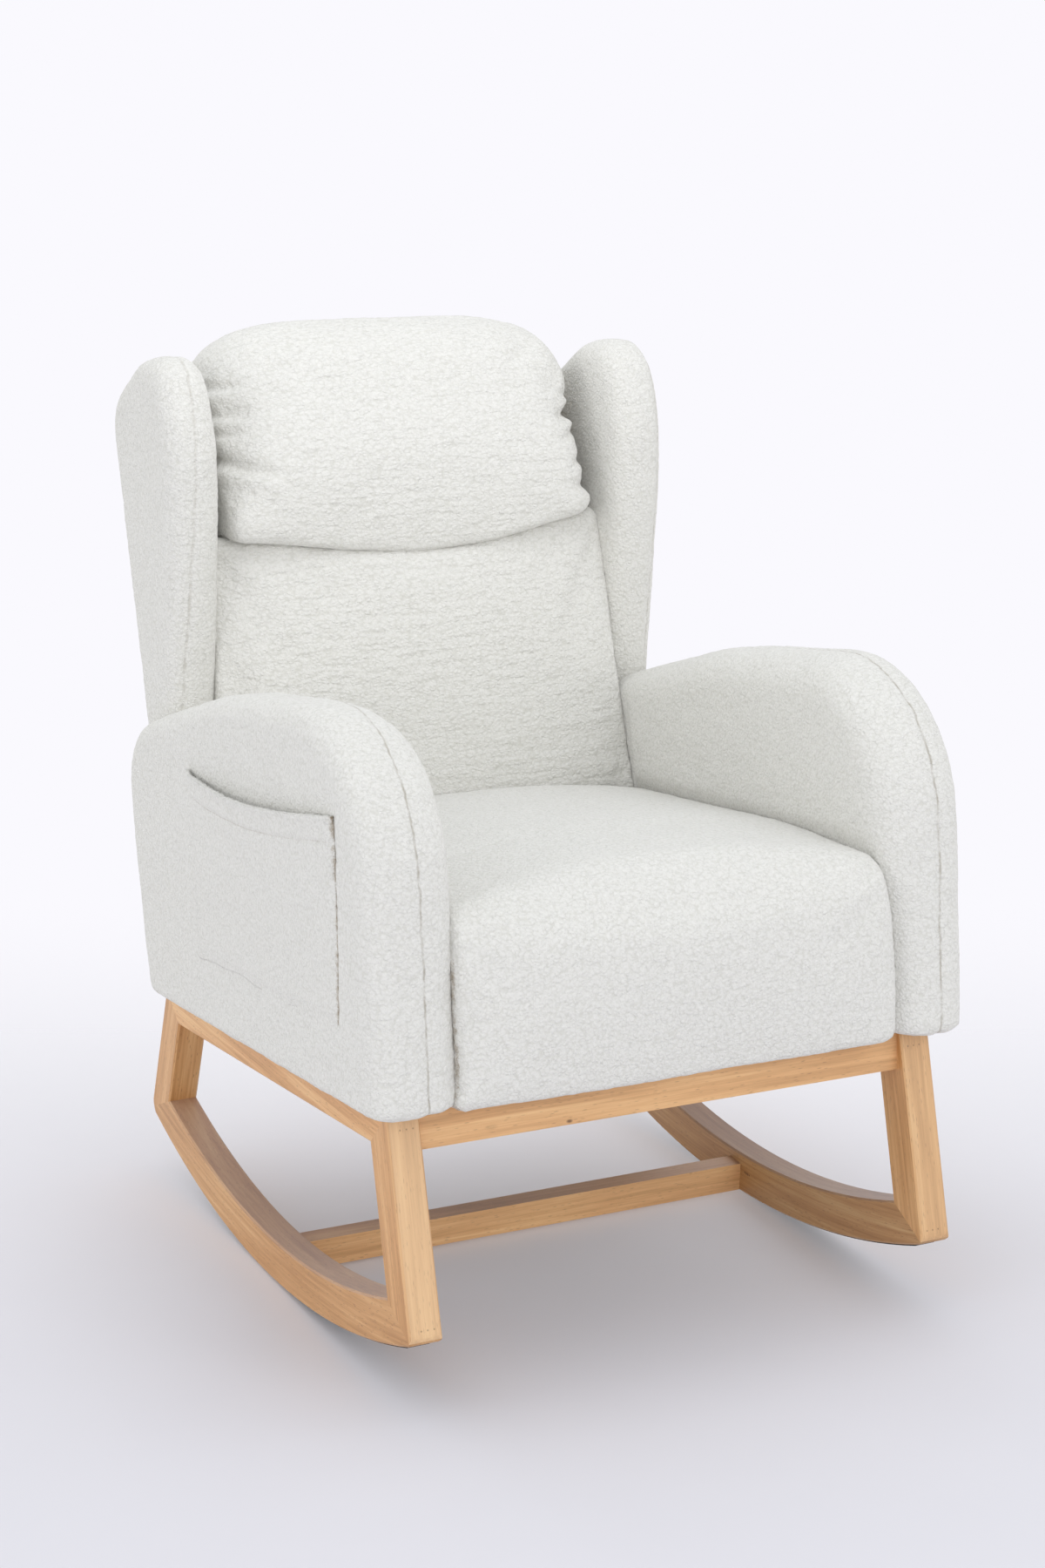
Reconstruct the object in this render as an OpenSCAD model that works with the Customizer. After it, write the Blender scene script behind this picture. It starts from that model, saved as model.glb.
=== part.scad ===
/* [Rocking] */
// Radius of the rocking surface on the underside of the runners
rock_r = 1142; // [900:10:1500]
// Angle at which the empty chair leans back by its own balance
rest_tilt = 5.2; // [3:0.1:7]
// Thickness of the grip strip under each runner
strip_t = 2; // [1:0.5:4]
// Width of the grip strip
strip_w = 25; // [15:1:32]

/* [Wooden base] */
// Width over the two side frames
base_w = 640; // [600:5:660]
// Thickness of every side frame member, across the chair
wood_t = 36; // [28:1:42]
// Height of the runner's section
runner_h = 48; // [40:1:56]
// Width of the front leg, square to its length
front_leg_w = 50; // [40:1:58]
// Width of the rear leg, square to its length
rear_leg_w = 51; // [40:1:60]
// Forward lean of the front leg from upright
front_lean = 8.9; // [4:0.5:14]
// Backward lean of the rear leg from upright
rear_lean = 27.5; // [22:0.5:32]
// Height of the top of the wooden base over the lowest point of the runners
base_h = 274; // [255:1:300]
// Height of the side rail's section
side_rail_h = 37.5; // [30:0.5:48]
// Height of the front and rear rails' section
cross_rail_h = 42.5; // [34:0.5:54]
// Thickness of the front and rear rails
cross_rail_t = 30; // [22:1:34]
// Distance from the runner's lowest point forward to the front leg's inner top corner
front_reach = 236; // [215:1:250]
// Distance from the runner's lowest point back to the rear leg's inner top corner
rear_reach = 359; // [345:1:375]
// Depth of the stretcher between the runners
stretcher_d = 25; // [18:1:32]
// Height of the stretcher
stretcher_h = 34; // [28:1:42]
// Distance of the stretcher behind the runner's lowest point
stretcher_y = 82; // [60:1:120]
// Lean of the stretcher's front face from upright
stretcher_lean = 9.3; // [0:0.1:15]
// Distance of the front rail behind the front leg's outer edge
rail_set = 7; // [2:0.5:12]
// Rounding of the runner's back tip
back_tip_r = 22; // [10:1:26]
// Rounding of the front foot
foot_r = 11; // [5:1:16]
// Easing of the long edges
edge_ease = 2; // [1:0.5:3]

/* [Seat] */
// Width of the seat between the arms
seat_w = 516; // [480:2:540]
// Height of the seat's side edge over the base
seat_h = 203; // [185:1:225]
// Distance from the front of the wooden rail to the upholstered front face
front_overhang = 47; // [40:1:56]
// Crown of the seat in its middle
seat_crown = 18; // [6:1:30]
// Swell of the seat's front face
front_swell = 13; // [4:1:20]
// Thickness of the foam block
foam_t = 70; // [50:1:80]
// Padding in front of the seat frame
front_padding = 22; // [18:1:30]
// Wadding beside the seat frame, on each side
side_wadding = 8; // [5:0.5:12]
// Wadding behind the back cushion's foot
rear_wadding = 14; // [8:1:20]
// Foam in front of the foam block
foam_set = 34; // [24:1:44]

/* [Back] */
// Distance from the upholstered front to the back cushion, at the height of the seat
seat_d = 592; // [570:2:610]
// Recline of the back cushion's face
face_recline = 11.1; // [9:0.1:13]
// Recline of the outer back
rear_recline = 8.8; // [7:0.1:10]
// Depth of the body at the foot of the outer back
body_d = 710; // [700:2:730]
// Swell of the back cushion in its middle
back_swell = 34; // [10:1:40]
// Height of the line between back cushion and head roll over the base, at its sides
crease_h = 545; // [520:1:570]
// Dip of that line in its middle
crease_dip = 30; // [0:1:45]
// Height of the head roll's top over the base
head_h = 795; // [770:1:815]
// Width of the head roll
head_w = 476; // [450:2:510]
// Swell of the head roll's face
head_swell = 52; // [20:1:60]
// Height of the back's wooden frame over the base
back_frame_h = 700; // [660:1:720]
// Thickness of cover and wadding round the loose filling of the back and the head roll
cover_t = 15; // [12:1:24]

/* [Arms and wings] */
// Thickness of an arm
arm_t = 90; // [84:1:110]
// Height of the arm's top over the base
arm_h = 405; // [370:1:430]
// Radius of the arm's front curve
arm_front_r = 170; // [120:1:200]
// Rounding of the arm's long edges
arm_edge_r = 26; // [16:1:32]
// Swell of the arm's inner face over the seat
arm_swell = 9; // [2:1:14]
// Fall of the arm's top towards the back
arm_fall = 90; // [60:1:110]
// Thickness of a wing
wing_t = 62; // [56:1:72]
// Height of the wing's top over the base
wing_h = 750; // [725:1:765]
// Depth of the wing at its widest
wing_d = 200; // [170:1:215]
// Rounding of the wing's edges
wing_edge_r = 27; // [16:1:28]
// Padding between a panel's edge and the cover
padding = 22; // [15:1:26]

/* [Pockets] */
// Length of the pocket along the arm
pocket_l = 420; // [340:5:450]
// Height of the pocket
pocket_h = 218; // [160:2:230]
// Height of the pocket's lower edge over the base
pocket_z = 83; // [60:1:100]
// Distance from the arm's front to the pocket
pocket_set = 70; // [60:1:100]
// Thickness of the pocket's lined cloth
pocket_t = 3; // [2:0.5:5]
// Room between arm and cloth at the pocket's mouth
pocket_room = 10; // [7:0.5:14]

/* [Frame and fittings] */
// Thickness of the seat frame's rails
frame_t = 25; // [20:1:30]
// Height of the seat frame's side rails
frame_h = 90; // [75:1:110]
// Width of the back frame's uprights
stile_w = 45; // [35:1:60]
// Depth of the back frame's uprights
stile_d = 28; // [22:1:34]
// Thickness of the plywood panels in the arms
arm_panel_t = 18; // [12:1:21]
// Thickness of the plywood panels in the wings
wing_panel_t = 15; // [9:1:18]
// Width of the elastic webbing
web_w = 60; // [40:1:70]
// Thickness of the elastic webbing
web_t = 2; // [1:0.5:3]
// Straps from front to back
web_count = 5; // [3:1:6]
// Size of the corner blocks
block_size = 85; // [80:1:110]
// Diameter of the bolts
bolt_d = 8; // [6:1:10]
// Diameter of the dowels
dowel_d = 8; // [6:1:10]
// Thickness of the outer back with its cover
outer_back_t = 8; // [6:1:16]
// Gap left between soft pieces
gap = 0.3; // [0.2:0.1:0.6]
// Clearance round bolts and dowels
bore_gap = 0.2; // [0.1:0.1:0.5]

/* [Hidden] */
$fn = 18;
arc_steps = 240;
// Distance that a cutting shape runs past what it cuts
beyond = 60;
// Radius of outlines that are nearly straight
flat_r = 900;
SIDES = [1, -1];

// The side view is drawn in (y, z): y from front to back, z up from the runner's lowest point
arc_centre = [0, rock_r];
base_half = base_w / 2;
frame_inner = base_half - wood_t;
under_base = base_h - side_rail_h;
inner_r = rock_r - runner_h;

// Corners of the side frame, where the inner and the outer edges of its members meet
front_in = [-front_reach, under_base];
rear_in = [rear_reach, under_base];
front_slope = tan(front_lean);
rear_slope = tan(rear_lean);
front_leg_y = front_leg_w / cos(front_lean);
rear_leg_y = rear_leg_w / cos(rear_lean);
front_out = [-front_reach - front_leg_y + side_rail_h * front_slope, base_h];
rear_out = [rear_reach + rear_leg_y - side_rail_h * rear_slope, base_h];
front_foot_in = on_arc(front_in, [-front_slope, -1], inner_r);
rear_foot_in = on_arc(rear_in, [rear_slope, -1], inner_r);
front_foot_out = on_arc(front_out, [-front_slope, -1], rock_r);
rear_foot_out = on_arc(rear_out, [rear_slope, -1], rock_r);

// Front and rear rails, flush with the top of the side rails
rail_front_y = front_out.x + rail_set;
front_rail_span = [rail_front_y, rail_front_y + cross_rail_t];
body_front = rail_front_y - front_overhang;
body_rear = body_front + body_d;
stile_foot = body_rear - outer_back_t - stile_d;
rear_rail_span = [stile_foot, stile_foot + cross_rail_t];

// Lines that the back follows, as y at a height z
seat_back_y = body_front + seat_d;
seat_z = base_h + seat_h;
function face_y(z) = seat_back_y + (z - seat_z) * tan(face_recline);
function rear_y(z) = body_rear + (z - base_h) * tan(rear_recline);
function stile_y(z) = rear_y(z) - (outer_back_t + stile_d) / cos(rear_recline);

// Widths, measured from the middle of the chair
seat_half = seat_w / 2;
frame_half = seat_half - side_wadding;
arm_out = seat_half + arm_t;
wing_out = seat_half + wing_t;
// Share of the arm's padding that lies between its panel and the seat
arm_panel_share = 0.38;
arm_panel_x = seat_half + (arm_t - arm_panel_t) * arm_panel_share;
wing_panel_x = seat_half + (wing_t - wing_panel_t) / 2;

// Seat frame, webbing and foam, one on the other
frame_top = base_h + frame_h;
seat_rear_y = face_y(base_h) - frame_t - rear_wadding;
front_rail_y = body_front + front_padding;
rail_front = front_rail_y + frame_t;
web_z = frame_top;
foam_z = web_z + 2 * web_t;
foam_top = foam_z + foam_t;

// Back cushion and head roll
crease_z = base_h + crease_h;
crease_half = seat_half - gap;
function crease(x) = crease_z - crease_dip * (1 - pow(x / crease_half, 2));
head_top = base_h + head_h;
back_frame_top = base_h + back_frame_h;
back_lift = 4;
back_foot = frame_top + back_lift;

// Bolts and dowels
bolt_r = bolt_d / 2;
dowel_r = dowel_d / 2;
dowel_l = 50;
head_t = 5;
head_r = bolt_r + 3;
washer_t = 1.5;
washer_r = bolt_r + 5;
block_h = cross_rail_h - 10;
block_top = base_h - 2.5;
bolt_in = 40;
base_bolt_x = frame_half - frame_t / 2;
base_bolt_set = 24;
front_bolt_y = front_rail_span[1] + base_bolt_set;
rear_bolt_y = rear_rail_span[0] - base_bolt_set;
arm_bolt_z = base_h + frame_h * 0.55;
arm_bolt_ys = [front_rail_span[1] + 50, seat_rear_y - 70];
wing_top = base_h + wing_h;
wing_bolt_zs = [base_h + arm_h + 30, wing_top - 150];

wood = "#D8A56C";
pine = "#DCC39A";
ply = "#C9A878";
fleece = "#ECEBE6";
strap = "#3A3A3C";
steel = "#B9BCC0";

// Geometry helpers

// First point that a line from p along d meets on the circle of radius r about the rocking centre
function on_arc(p, d, r) =
    let (q = p - arc_centre, b = q * d / (d * d), c = (q * q - r * r) / (d * d))
    p + d * (-b + sqrt(b * b - c));

function unit(v) = v / norm(v);
function flat(p) = [p.x, p.y];

// One corner of an outline: an arc of radius r that touches both edges, in n steps
function corner_arc(a, b, c, r, n) =
    let (
        u = unit(a - b),
        v = unit(c - b),
        half = acos(max(-1, min(1, u * v))) / 2,
        reach = min(r / tan(half), 0.48 * min(norm(a - b), norm(c - b))),
        true_r = reach * tan(half),
        centre = b + unit(u + v) * true_r / sin(half),
        s = b + u * reach - centre,
        e = b + v * reach - centre,
        start = atan2(s.y, s.x),
        turn = (atan2(e.y, e.x) - start + 540) % 360 - 180
    )
    [for (i = [0 : n]) centre + true_r * [cos(start + turn * i / n), sin(start + turn * i / n)]];

// A closed outline from corners [y, z, radius], listed front foot first and up the back
function rounded(corners, n) =
    let (k = len(corners))
    [for (i = [0 : k - 1]) each corner_arc(
        flat(corners[(i + k - 1) % k]), flat(corners[i]), flat(corners[(i + 1) % k]), corners[i].z, n)];

// The same corners with every edge moved inwards by d
function inset(corners, d) =
    let (k = len(corners))
    [for (i = [0 : k - 1])
        let (
            b = flat(corners[i]),
            u = unit(flat(corners[(i + k - 1) % k]) - b),
            v = unit(flat(corners[(i + 1) % k]) - b),
            half = acos(max(-1, min(1, u * v))) / 2,
            p = b + unit(u + v) * d / sin(half)
        )
        [p.x, p.y, max(corners[i].z - d, 1)]];

function middle(ring) = [for (k = [0 : 2]) [for (p = ring) p[k]] * [for (p = ring) 1 / len(ring)]];
function at_x(x, outline) = [for (p = outline) [x, p.x, p.y]];

// A closed skin over rings of equal point counts, ordered along +X
module skin(rings) {
    n = len(rings[0]);
    m = len(rings);
    points = [for (r = rings) each r, middle(rings[0]), middle(rings[m - 1])];
    walls = [for (i = [0 : m - 2], j = [0 : n - 1])
        let (a = i * n + j, b = i * n + (j + 1) % n, c = a + n, d = b + n)
        each [[a, c, b], [b, c, d]]];
    first = [for (j = [0 : n - 1]) [j, (j + 1) % n, n * m]];
    last = [for (j = [0 : n - 1]) [n * (m - 1) + (j + 1) % n, n * (m - 1) + j, n * m + 1]];
    polyhedron(points, concat(walls, first, last));
}

// The same, but the foot between the first two corners moves in less, so that it stays flat
function drawn_in(corners, d) =
    let (c = inset(corners, d), foot = corners[0].y + d * 0.3)
    [for (i = [0 : len(c) - 1]) i < 2 ? [c[i].x, foot, c[i].z] : c[i]];

// A padded panel: the outline between x0 and x1 with rounded edges and a swollen inner face
module padded_panel(corners, x0, x1, edge, swell, n) {
    face = rounded(drawn_in(corners, edge), n);
    mid = middle(at_x(0, face));
    centre = [mid.y, mid.z];
    function shrunk(s) = [for (p = face) centre + s * (p - centre)];
    function puffed(s) = swell * (1 - pow(s, 4));
    function edged(a) = rounded(drawn_in(corners, edge * (1 - sin(a)) + 0.001), n);
    steps = [0.35, 0.75];
    skin([
        for (s = steps) at_x(x0 - puffed(s), shrunk(s)),
        for (a = [0 : 30 : 90]) at_x(x0 + edge * (1 - cos(a)) - swell * 0.4 * cos(a), edged(a)),
        for (a = [90 : -30 : 0]) at_x(x1 - edge * (1 - cos(a)), edged(a)),
        for (s = [steps[1], steps[0]]) at_x(x1, shrunk(s))
    ]);
}

// A board lying in the side view, from x along +X
module board(x, t, outline) translate([x, 0, 0]) rotate([90, 0, 90]) linear_extrude(t) polygon(outline);

// A box given by its spans in x, y and z
module span(x, y, z) translate([x[0], y[0], z[0]]) cube([x[1] - x[0], y[1] - y[0], z[1] - z[0]]);

// A pin along X
module pin_x(x, y, z, l, r) translate([x, y, z]) rotate([0, 90, 0]) cylinder(r = r, h = l);

// The finished chair stands on the floor, leaning back about the centre of its rocking arc
module rested() translate([0, 0, rock_r + strip_t]) rotate([-rest_tilt, 0, 0])
    translate([0, 0, -rock_r]) children();

module sided(s) mirror([s > 0 ? 0 : 1, 0, 0]) children();

// Wooden base

function eased(w, t) = let (e = edge_ease)
    [[e, 0], [w - e, 0], [w, e], [w, t - e], [w - e, t], [e, t], [0, t - e], [0, e]];

// A straight member whose inner edge runs from p to q, with its width on the left of that line
module member(p, q, w) {
    d = q - p;
    translate([frame_inner, p.x, p.y]) rotate([atan2(d.y, d.x), 0, 0]) rotate([-90, -90, 0])
        translate([0, 0, -beyond]) linear_extrude(norm(d) + 2 * beyond) polygon(eased(w, wood_t));
}

// A point past the inner corner p of a mitre, on the line through its outer corner q
function past(p, q) = p + (p - q) * 0.2;
// A point past the outer corner q of that mitre
function outside(p, q) = q + (q - p);

// The area that a member may fill between its two mitres
module between_mitres(outline) board(frame_inner - 1, wood_t + 2, outline);

module runner_body() {
    low_front = outside(front_foot_in, front_foot_out);
    low_rear = outside(rear_foot_in, rear_foot_out);
    over_turn = 8;
    start = atan2(low_front.x, rock_r - low_front.y) - over_turn;
    stop = atan2(low_rear.x, rock_r - low_rear.y) + over_turn;
    difference() {
        intersection() {
            translate([frame_inner, 0, rock_r]) rotate([start, 0, 0]) rotate([0, 90, 0])
                rotate_extrude(angle = stop - start, $fn = arc_steps)
                    translate([inner_r, 0]) polygon(eased(runner_h, wood_t));
            between_mitres([
                past(front_foot_in, front_foot_out), low_front, [0, -3 * beyond],
                low_rear, past(rear_foot_in, rear_foot_out), [0, inner_r / 2]
            ]);
        }
        tip_cut(rear_foot_out, rear_out, back_tip_r);
        tip_cut(front_foot_out, front_out, foot_r);
        stretcher_dowel_holes();
    }
}

// Rounds the corner where a leg's outer edge meets the rocking surface, by planes that touch the arc
module tip_cut(p, top, r) {
    q = p - arc_centre;
    inward = -sign(p.x) * unit([-q.y, q.x]);
    up = unit(top - p);
    outline = corner_arc(p + inward * 3 * beyond, p, p + up * 3 * beyond, r, 5);
    board(frame_inner - 2, wood_t + 4, concat(outline, [p - (inward + up) * beyond / 3]));
}

module front_leg_body() difference() {
    intersection() {
        member(front_foot_in, front_in, front_leg_w);
        between_mitres([
            past(front_foot_in, front_foot_out), outside(front_foot_in, front_foot_out),
            outside(front_in, front_out), past(front_in, front_out)
        ]);
    }
    below_arc();
    tip_cut(front_foot_out, front_out, foot_r);
    rail_dowel_holes();
}

// All that lies outside the rocking surface
module below_arc() translate([frame_inner - 5, 0, rock_r]) rotate([0, 90, 0]) difference() {
    cylinder(r = rock_r + 5 * beyond, h = wood_t + 10, $fn = arc_steps);
    translate([0, 0, -1]) cylinder(r = rock_r, h = wood_t + 12, $fn = arc_steps);
}

module rear_leg_body() difference() {
    intersection() {
        member(rear_in, rear_foot_in, rear_leg_w);
        between_mitres([
            past(rear_foot_in, rear_foot_out), past(rear_in, rear_out),
            outside(rear_in, rear_out), outside(rear_foot_in, rear_foot_out)
        ]);
    }
    below_arc();
    tip_cut(rear_foot_out, rear_out, back_tip_r);
    rail_dowel_holes();
}

module side_rail_body() difference() {
    intersection() {
        member(front_in, rear_in, side_rail_h);
        between_mitres([
            past(front_in, front_out), past(rear_in, rear_out),
            outside(rear_in, rear_out), outside(front_in, front_out)
        ]);
    }
    rail_dowel_holes();
}

module side_frame_part(s) color(wood) rested() sided(s) children();

// Front, rear and lower cross members
module cross_rail(y) difference() {
    span([-frame_inner, frame_inner], y, [base_h - cross_rail_h, base_h]);
    for (s = SIDES) sided(s) rail_dowel_holes();
}

stretcher_up = sqrt(pow(rock_r - 1, 2) - pow(stretcher_y, 2));
module stretcher_place() translate([0, stretcher_y, rock_r - stretcher_up])
    rotate([stretcher_lean, 0, 0]) children();

module stretcher_block() color(wood) rested() difference() {
    stretcher_place() span([-frame_inner, frame_inner], [0, stretcher_d], [0, stretcher_h]);
    for (s = SIDES) sided(s) stretcher_dowel_holes();
}

// Dowels across the joints of the cross members
module stretcher_pins(r, l) stretcher_place() for (z = [0.3, 0.7])
    pin_x(frame_inner - l / 2, stretcher_d / 2, stretcher_h * z, l, r);
module stretcher_dowel_holes() stretcher_pins(dowel_r + bore_gap, dowel_l + 2);

module rail_pins(r, l) for (y = [front_rail_span, rear_rail_span], z = [0.28, 0.74])
    pin_x(frame_inner - l / 2, (y[0] + y[1]) / 2, base_h - cross_rail_h * z, l, r);
module rail_dowel_holes() rail_pins(dowel_r + bore_gap, dowel_l + 2);

module grip_strip(s) color("#2B2B2D") rested() sided(s)
    translate([frame_inner + (wood_t - strip_w) / 2, 0, rock_r])
        rotate([strip_start, 0, 0]) rotate([0, 90, 0])
            rotate_extrude(angle = strip_stop - strip_start, $fn = arc_steps)
                translate([rock_r, 0]) square([strip_t, strip_w]);
// Angles from the runner's tips to the ends of its strip
strip_front_set = 1.2;
strip_rear_set = 1.6;
strip_start = asin(front_foot_out.x / rock_r) + strip_front_set;
strip_stop = asin(rear_foot_out.x / rock_r) - strip_rear_set;

// Glue blocks in the corners of the base, and the bolts that hold the seat down
block_end = 12;
module corner_block(y, toward) linear_extrude(block_h) polygon([
    [frame_inner, y], [frame_inner - block_size, y], [frame_inner - block_size, y + toward * block_end],
    [frame_inner - block_end, y + toward * block_size], [frame_inner, y + toward * block_size]
]);
module base_bolt_spots() for (y = [front_bolt_y, rear_bolt_y]) translate([base_bolt_x, y, 0]) children();

module corner_blocks() color(pine) rested() for (s = SIDES) sided(s) difference() {
    translate([0, 0, block_top - block_h]) {
        corner_block(front_rail_span[1], 1);
        corner_block(rear_rail_span[0], -1);
    }
    base_bolt_spots() cylinder(r = bolt_r + bore_gap, h = base_h);
}

module base_bolt() translate([0, 0, block_top - block_h - washer_t]) {
    translate([0, 0, -head_t]) cylinder(r = head_r, h = head_t);
    cylinder(r = bolt_r, h = base_h - block_top + block_h + washer_t + bolt_in);
}
module base_bolts() color(steel) rested() for (s = SIDES) sided(s) base_bolt_spots() base_bolt();
module base_washers() color(steel) rested() for (s = SIDES) sided(s) base_bolt_spots()
    translate([0, 0, block_top - block_h - washer_t]) difference() {
        cylinder(r = washer_r, h = washer_t);
        translate([0, 0, -1]) cylinder(r = bolt_r + bore_gap, h = washer_t + 2);
    }

// Seat frame, webbing and foam

module seat_side_rail(s) color(pine) rested() sided(s) difference() {
    board(frame_half - frame_t, frame_t, [
        [rail_front, base_h], [stile_y(base_h), base_h],
        [stile_y(frame_top), frame_top], [rail_front, frame_top]
    ]);
    base_bolt_spots() translate([0, 0, base_h - 1]) cylinder(r = bolt_r + bore_gap, h = bolt_in + 2);
    arm_bolt_holes();
}

module seat_front_rail() color(pine) rested()
    span([-frame_half, frame_half], [front_rail_y, rail_front], [base_h, frame_top]);
module seat_rear_rail() color(pine) rested()
    span([frame_t - frame_half, frame_half - frame_t], [seat_rear_y, seat_rear_y + frame_t],
        [base_h, frame_top]);

module seat_webbing() color(strap) rested() for (i = [0 : web_count - 1])
    translate([(i - (web_count - 1) / 2) * web_pitch, 0, 0])
        span([-web_w / 2, web_w / 2], [front_rail_y, seat_rear_y + frame_t], [web_z, web_z + web_t]);
web_pitch = (2 * frame_half - web_w) / web_count;

module seat_cross_webbing() color(strap) rested() for (i = [1 : 3])
    translate([0, rail_front + (seat_rear_y - rail_front) * i / 4, 0])
        span([-frame_half, frame_half], [-web_w / 2, web_w / 2], [web_z + web_t, web_z + 2 * web_t]);

foam_side_set = 6;
foam_x = frame_half - side_wadding - foam_side_set;
foam_front = body_front + foam_set;
module seat_foam() color("#F3E6B8") rested()
    span([-foam_x, foam_x], [foam_front, seat_rear_y + frame_t], [foam_z, foam_top]);

// Seat cushion: cover and wadding over the frame and the foam
function fullness(x, half, p) = 1 - pow(min(1, abs(x) / half), p);
function edge_drop(x, half, r) = let (k = max(0, abs(x) - half + r)) r - sqrt(max(0, r * r - k * k));
function stations(half, r) =
    let (flat_half = half - r, side = [for (a = [90, 60, 30, 0]) flat_half + r * sin(a)])
    [for (x = side) -x, for (i = [-5 : 5]) flat_half * i / 6, for (i = [3 : -1 : 0]) side[i]];

// Share of a cushion's swell that its sides keep, and the power that shapes its fullness
side_share = 0.35;
full_power = 2.2;
seat_edge = 11;
// Radii of the seat's foot in front and behind, its upper rear and front edges, and its front face
seat_radii = [8, 5, 12, 62, 300];
// Height of the seat's highest line over its crown, and that line's place from front to back
seat_rise = 8;
seat_high = 0.42;
function seat_section(x) =
    let (e = fullness(x, seat_half, full_power), z = seat_z + seat_crown * e)
    inset([
        [body_front, base_h, seat_radii[0]],
        [face_y(base_h) - gap, base_h, seat_radii[1]],
        [face_y(z) - gap, z, seat_radii[2]],
        [body_front + seat_d * seat_high, z + seat_rise, flat_r],
        [body_front + seat_rise / 2, z - seat_rise / 4, seat_radii[3]],
        [body_front - front_swell * (side_share + (1 - side_share) * e), base_h + seat_h * 0.6, seat_radii[4]]
    ], edge_drop(x, seat_half - gap, seat_edge) + 0.001);

module seat_cushion() color(fleece) rested() difference() {
    skin([for (x = stations(seat_half - gap, seat_edge)) at_x(x, rounded(seat_section(x), 5))]);
    span([-frame_half - gap, frame_half + gap], [front_rail_y - gap, seat_rear_y + frame_t + gap],
        [base_h - 5, foam_z]);
    span([-foam_x - gap, foam_x + gap], [foam_front - gap, seat_rear_y + frame_t + gap],
        [foam_z - 1, foam_top + gap]);
    for (s = SIDES) sided(s)
        span([frame_half - frame_t - gap, frame_half + gap], [0, body_rear], [base_h - 5, frame_top + gap]);
    for (s = SIDES) sided(s) arm_block_room();
}

module dust_cover() color("#4A4A4D") rested() difference() {
    span([1 - frame_inner, frame_inner - 1], [front_rail_span[1] + 1, rear_rail_span[0] - 1],
        [block_top + gap, block_top + gap + dust_cover_t]);
    for (s = SIDES) sided(s) base_bolt_spots() cylinder(r = bolt_r + bore_gap, h = base_h);
}
dust_cover_t = 1.2;

// Arms

// Radii of the arm's foot in front and behind, and of its upper rear corner
arm_radii = [10, 14, 95];
// Place where the arm's top starts to fall, and the share of the fall that it has there
arm_bend = 0.56;
arm_bend_fall = 0.16;
arm_rise = 5;
function arm_corners() =
    let (top = base_h + arm_h, rear_top = top - arm_fall)
    [
        [body_front, base_h, arm_radii[0]],
        [rear_y(base_h), base_h, arm_radii[1]],
        [rear_y(rear_top), rear_top, arm_radii[2]],
        [body_front + body_d * arm_bend, top - arm_fall * arm_bend_fall, flat_r],
        [body_front, top + arm_rise, arm_front_r]
    ];

module arm_form(grow) padded_panel(inset(arm_corners(), -grow), seat_half - grow, arm_out + grow, arm_edge_r,
    arm_swell, 6);

// Room for the seat and the back cushion, which the swell of the arm leaves free
room_rise = 40;
module cushion_room() board(0, seat_half, [
    [body_front - beyond, base_h - beyond], [body_rear + 4 * beyond, base_h - beyond],
    [body_rear + 4 * beyond, wing_top], [face_y(wing_top) - back_swell, wing_top],
    [face_y(seat_z + room_rise) - gap, seat_z + room_rise],
    [face_y(seat_z) - 1.5 * room_rise, seat_z + seat_crown - 4], [body_front + pocket_set, seat_z + 6],
    [body_front + room_rise / 2, seat_z - 0.6 * room_rise], [body_front - beyond, seat_z - beyond]
]);

// The plywood inside the arm stands on the side rail
function arm_panel_outline(grow, foot) =
    let (c = inset(arm_corners(), padding - grow))
    rounded([[c[0].x, foot, 1], [c[1].x, foot, 1], c[2], c[3], c[4]], 6);

module arm_panel(s) color(ply) rested() sided(s) difference() {
    board(arm_panel_x, arm_panel_t, arm_panel_outline(0, base_h));
    arm_bolt_holes();
    board(arm_panel_x - 1, arm_panel_t + 2, arm_window());
}

// The rear of the arm is hollow behind its wadding, as a window through the panel
function arm_window() =
    let (
        z0 = arm_bolt_z + arm_block_h,
        z1 = base_h + arm_h - arm_fall - window_set / 2,
        y1 = body_rear - window_set
    )
    rounded([[0, z0, window_r], [y1, z0, window_r], [y1, z1, window_r], [0, z1, window_r]], 6);
window_set = 80;
window_r = 20;

module arm_pad(s) color(fleece) rested() sided(s) difference() {
    arm_form(0);
    cushion_room();
    board(arm_panel_x - gap, arm_panel_t + 2 * gap, arm_panel_outline(gap, base_h - 20));
    board(seat_half + cover_t, arm_t - 2 * cover_t, arm_window());
    arm_block_room();
}

module arm_block_spots() for (y = arm_bolt_ys) translate([0, y, arm_bolt_z]) children();
arm_block_w = 60;
arm_block_h = 44;
module arm_block_room() arm_block_spots()
    span([frame_half, arm_panel_x + 1], [-1, 1] * (arm_block_w / 2 + gap),
        [-1, 1] * (arm_block_h / 2 + gap));
module arm_bolt_holes() arm_block_spots() pin_x(frame_half - frame_t - 1, 0, 0, arm_out, bolt_r + bore_gap);

module arm_blocks() color(pine) rested() for (s = SIDES) sided(s) difference() {
    arm_block_spots()
        span([frame_half, arm_panel_x], [-1, 1] * arm_block_w / 2, [-1, 1] * arm_block_h / 2);
    arm_bolt_holes();
}

module cross_bolt(x0, x1) {
    pin_x(x0 - head_t, 0, 0, head_t, head_r);
    pin_x(x0, 0, 0, x1 - x0, bolt_r);
}
module arm_bolts() color(steel) rested() for (s = SIDES) sided(s)
    arm_block_spots() cross_bolt(frame_half - frame_t, arm_panel_x + arm_panel_t);

// Pockets: a patch of lined cloth sewn on three sides, open along its upper edge

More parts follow.
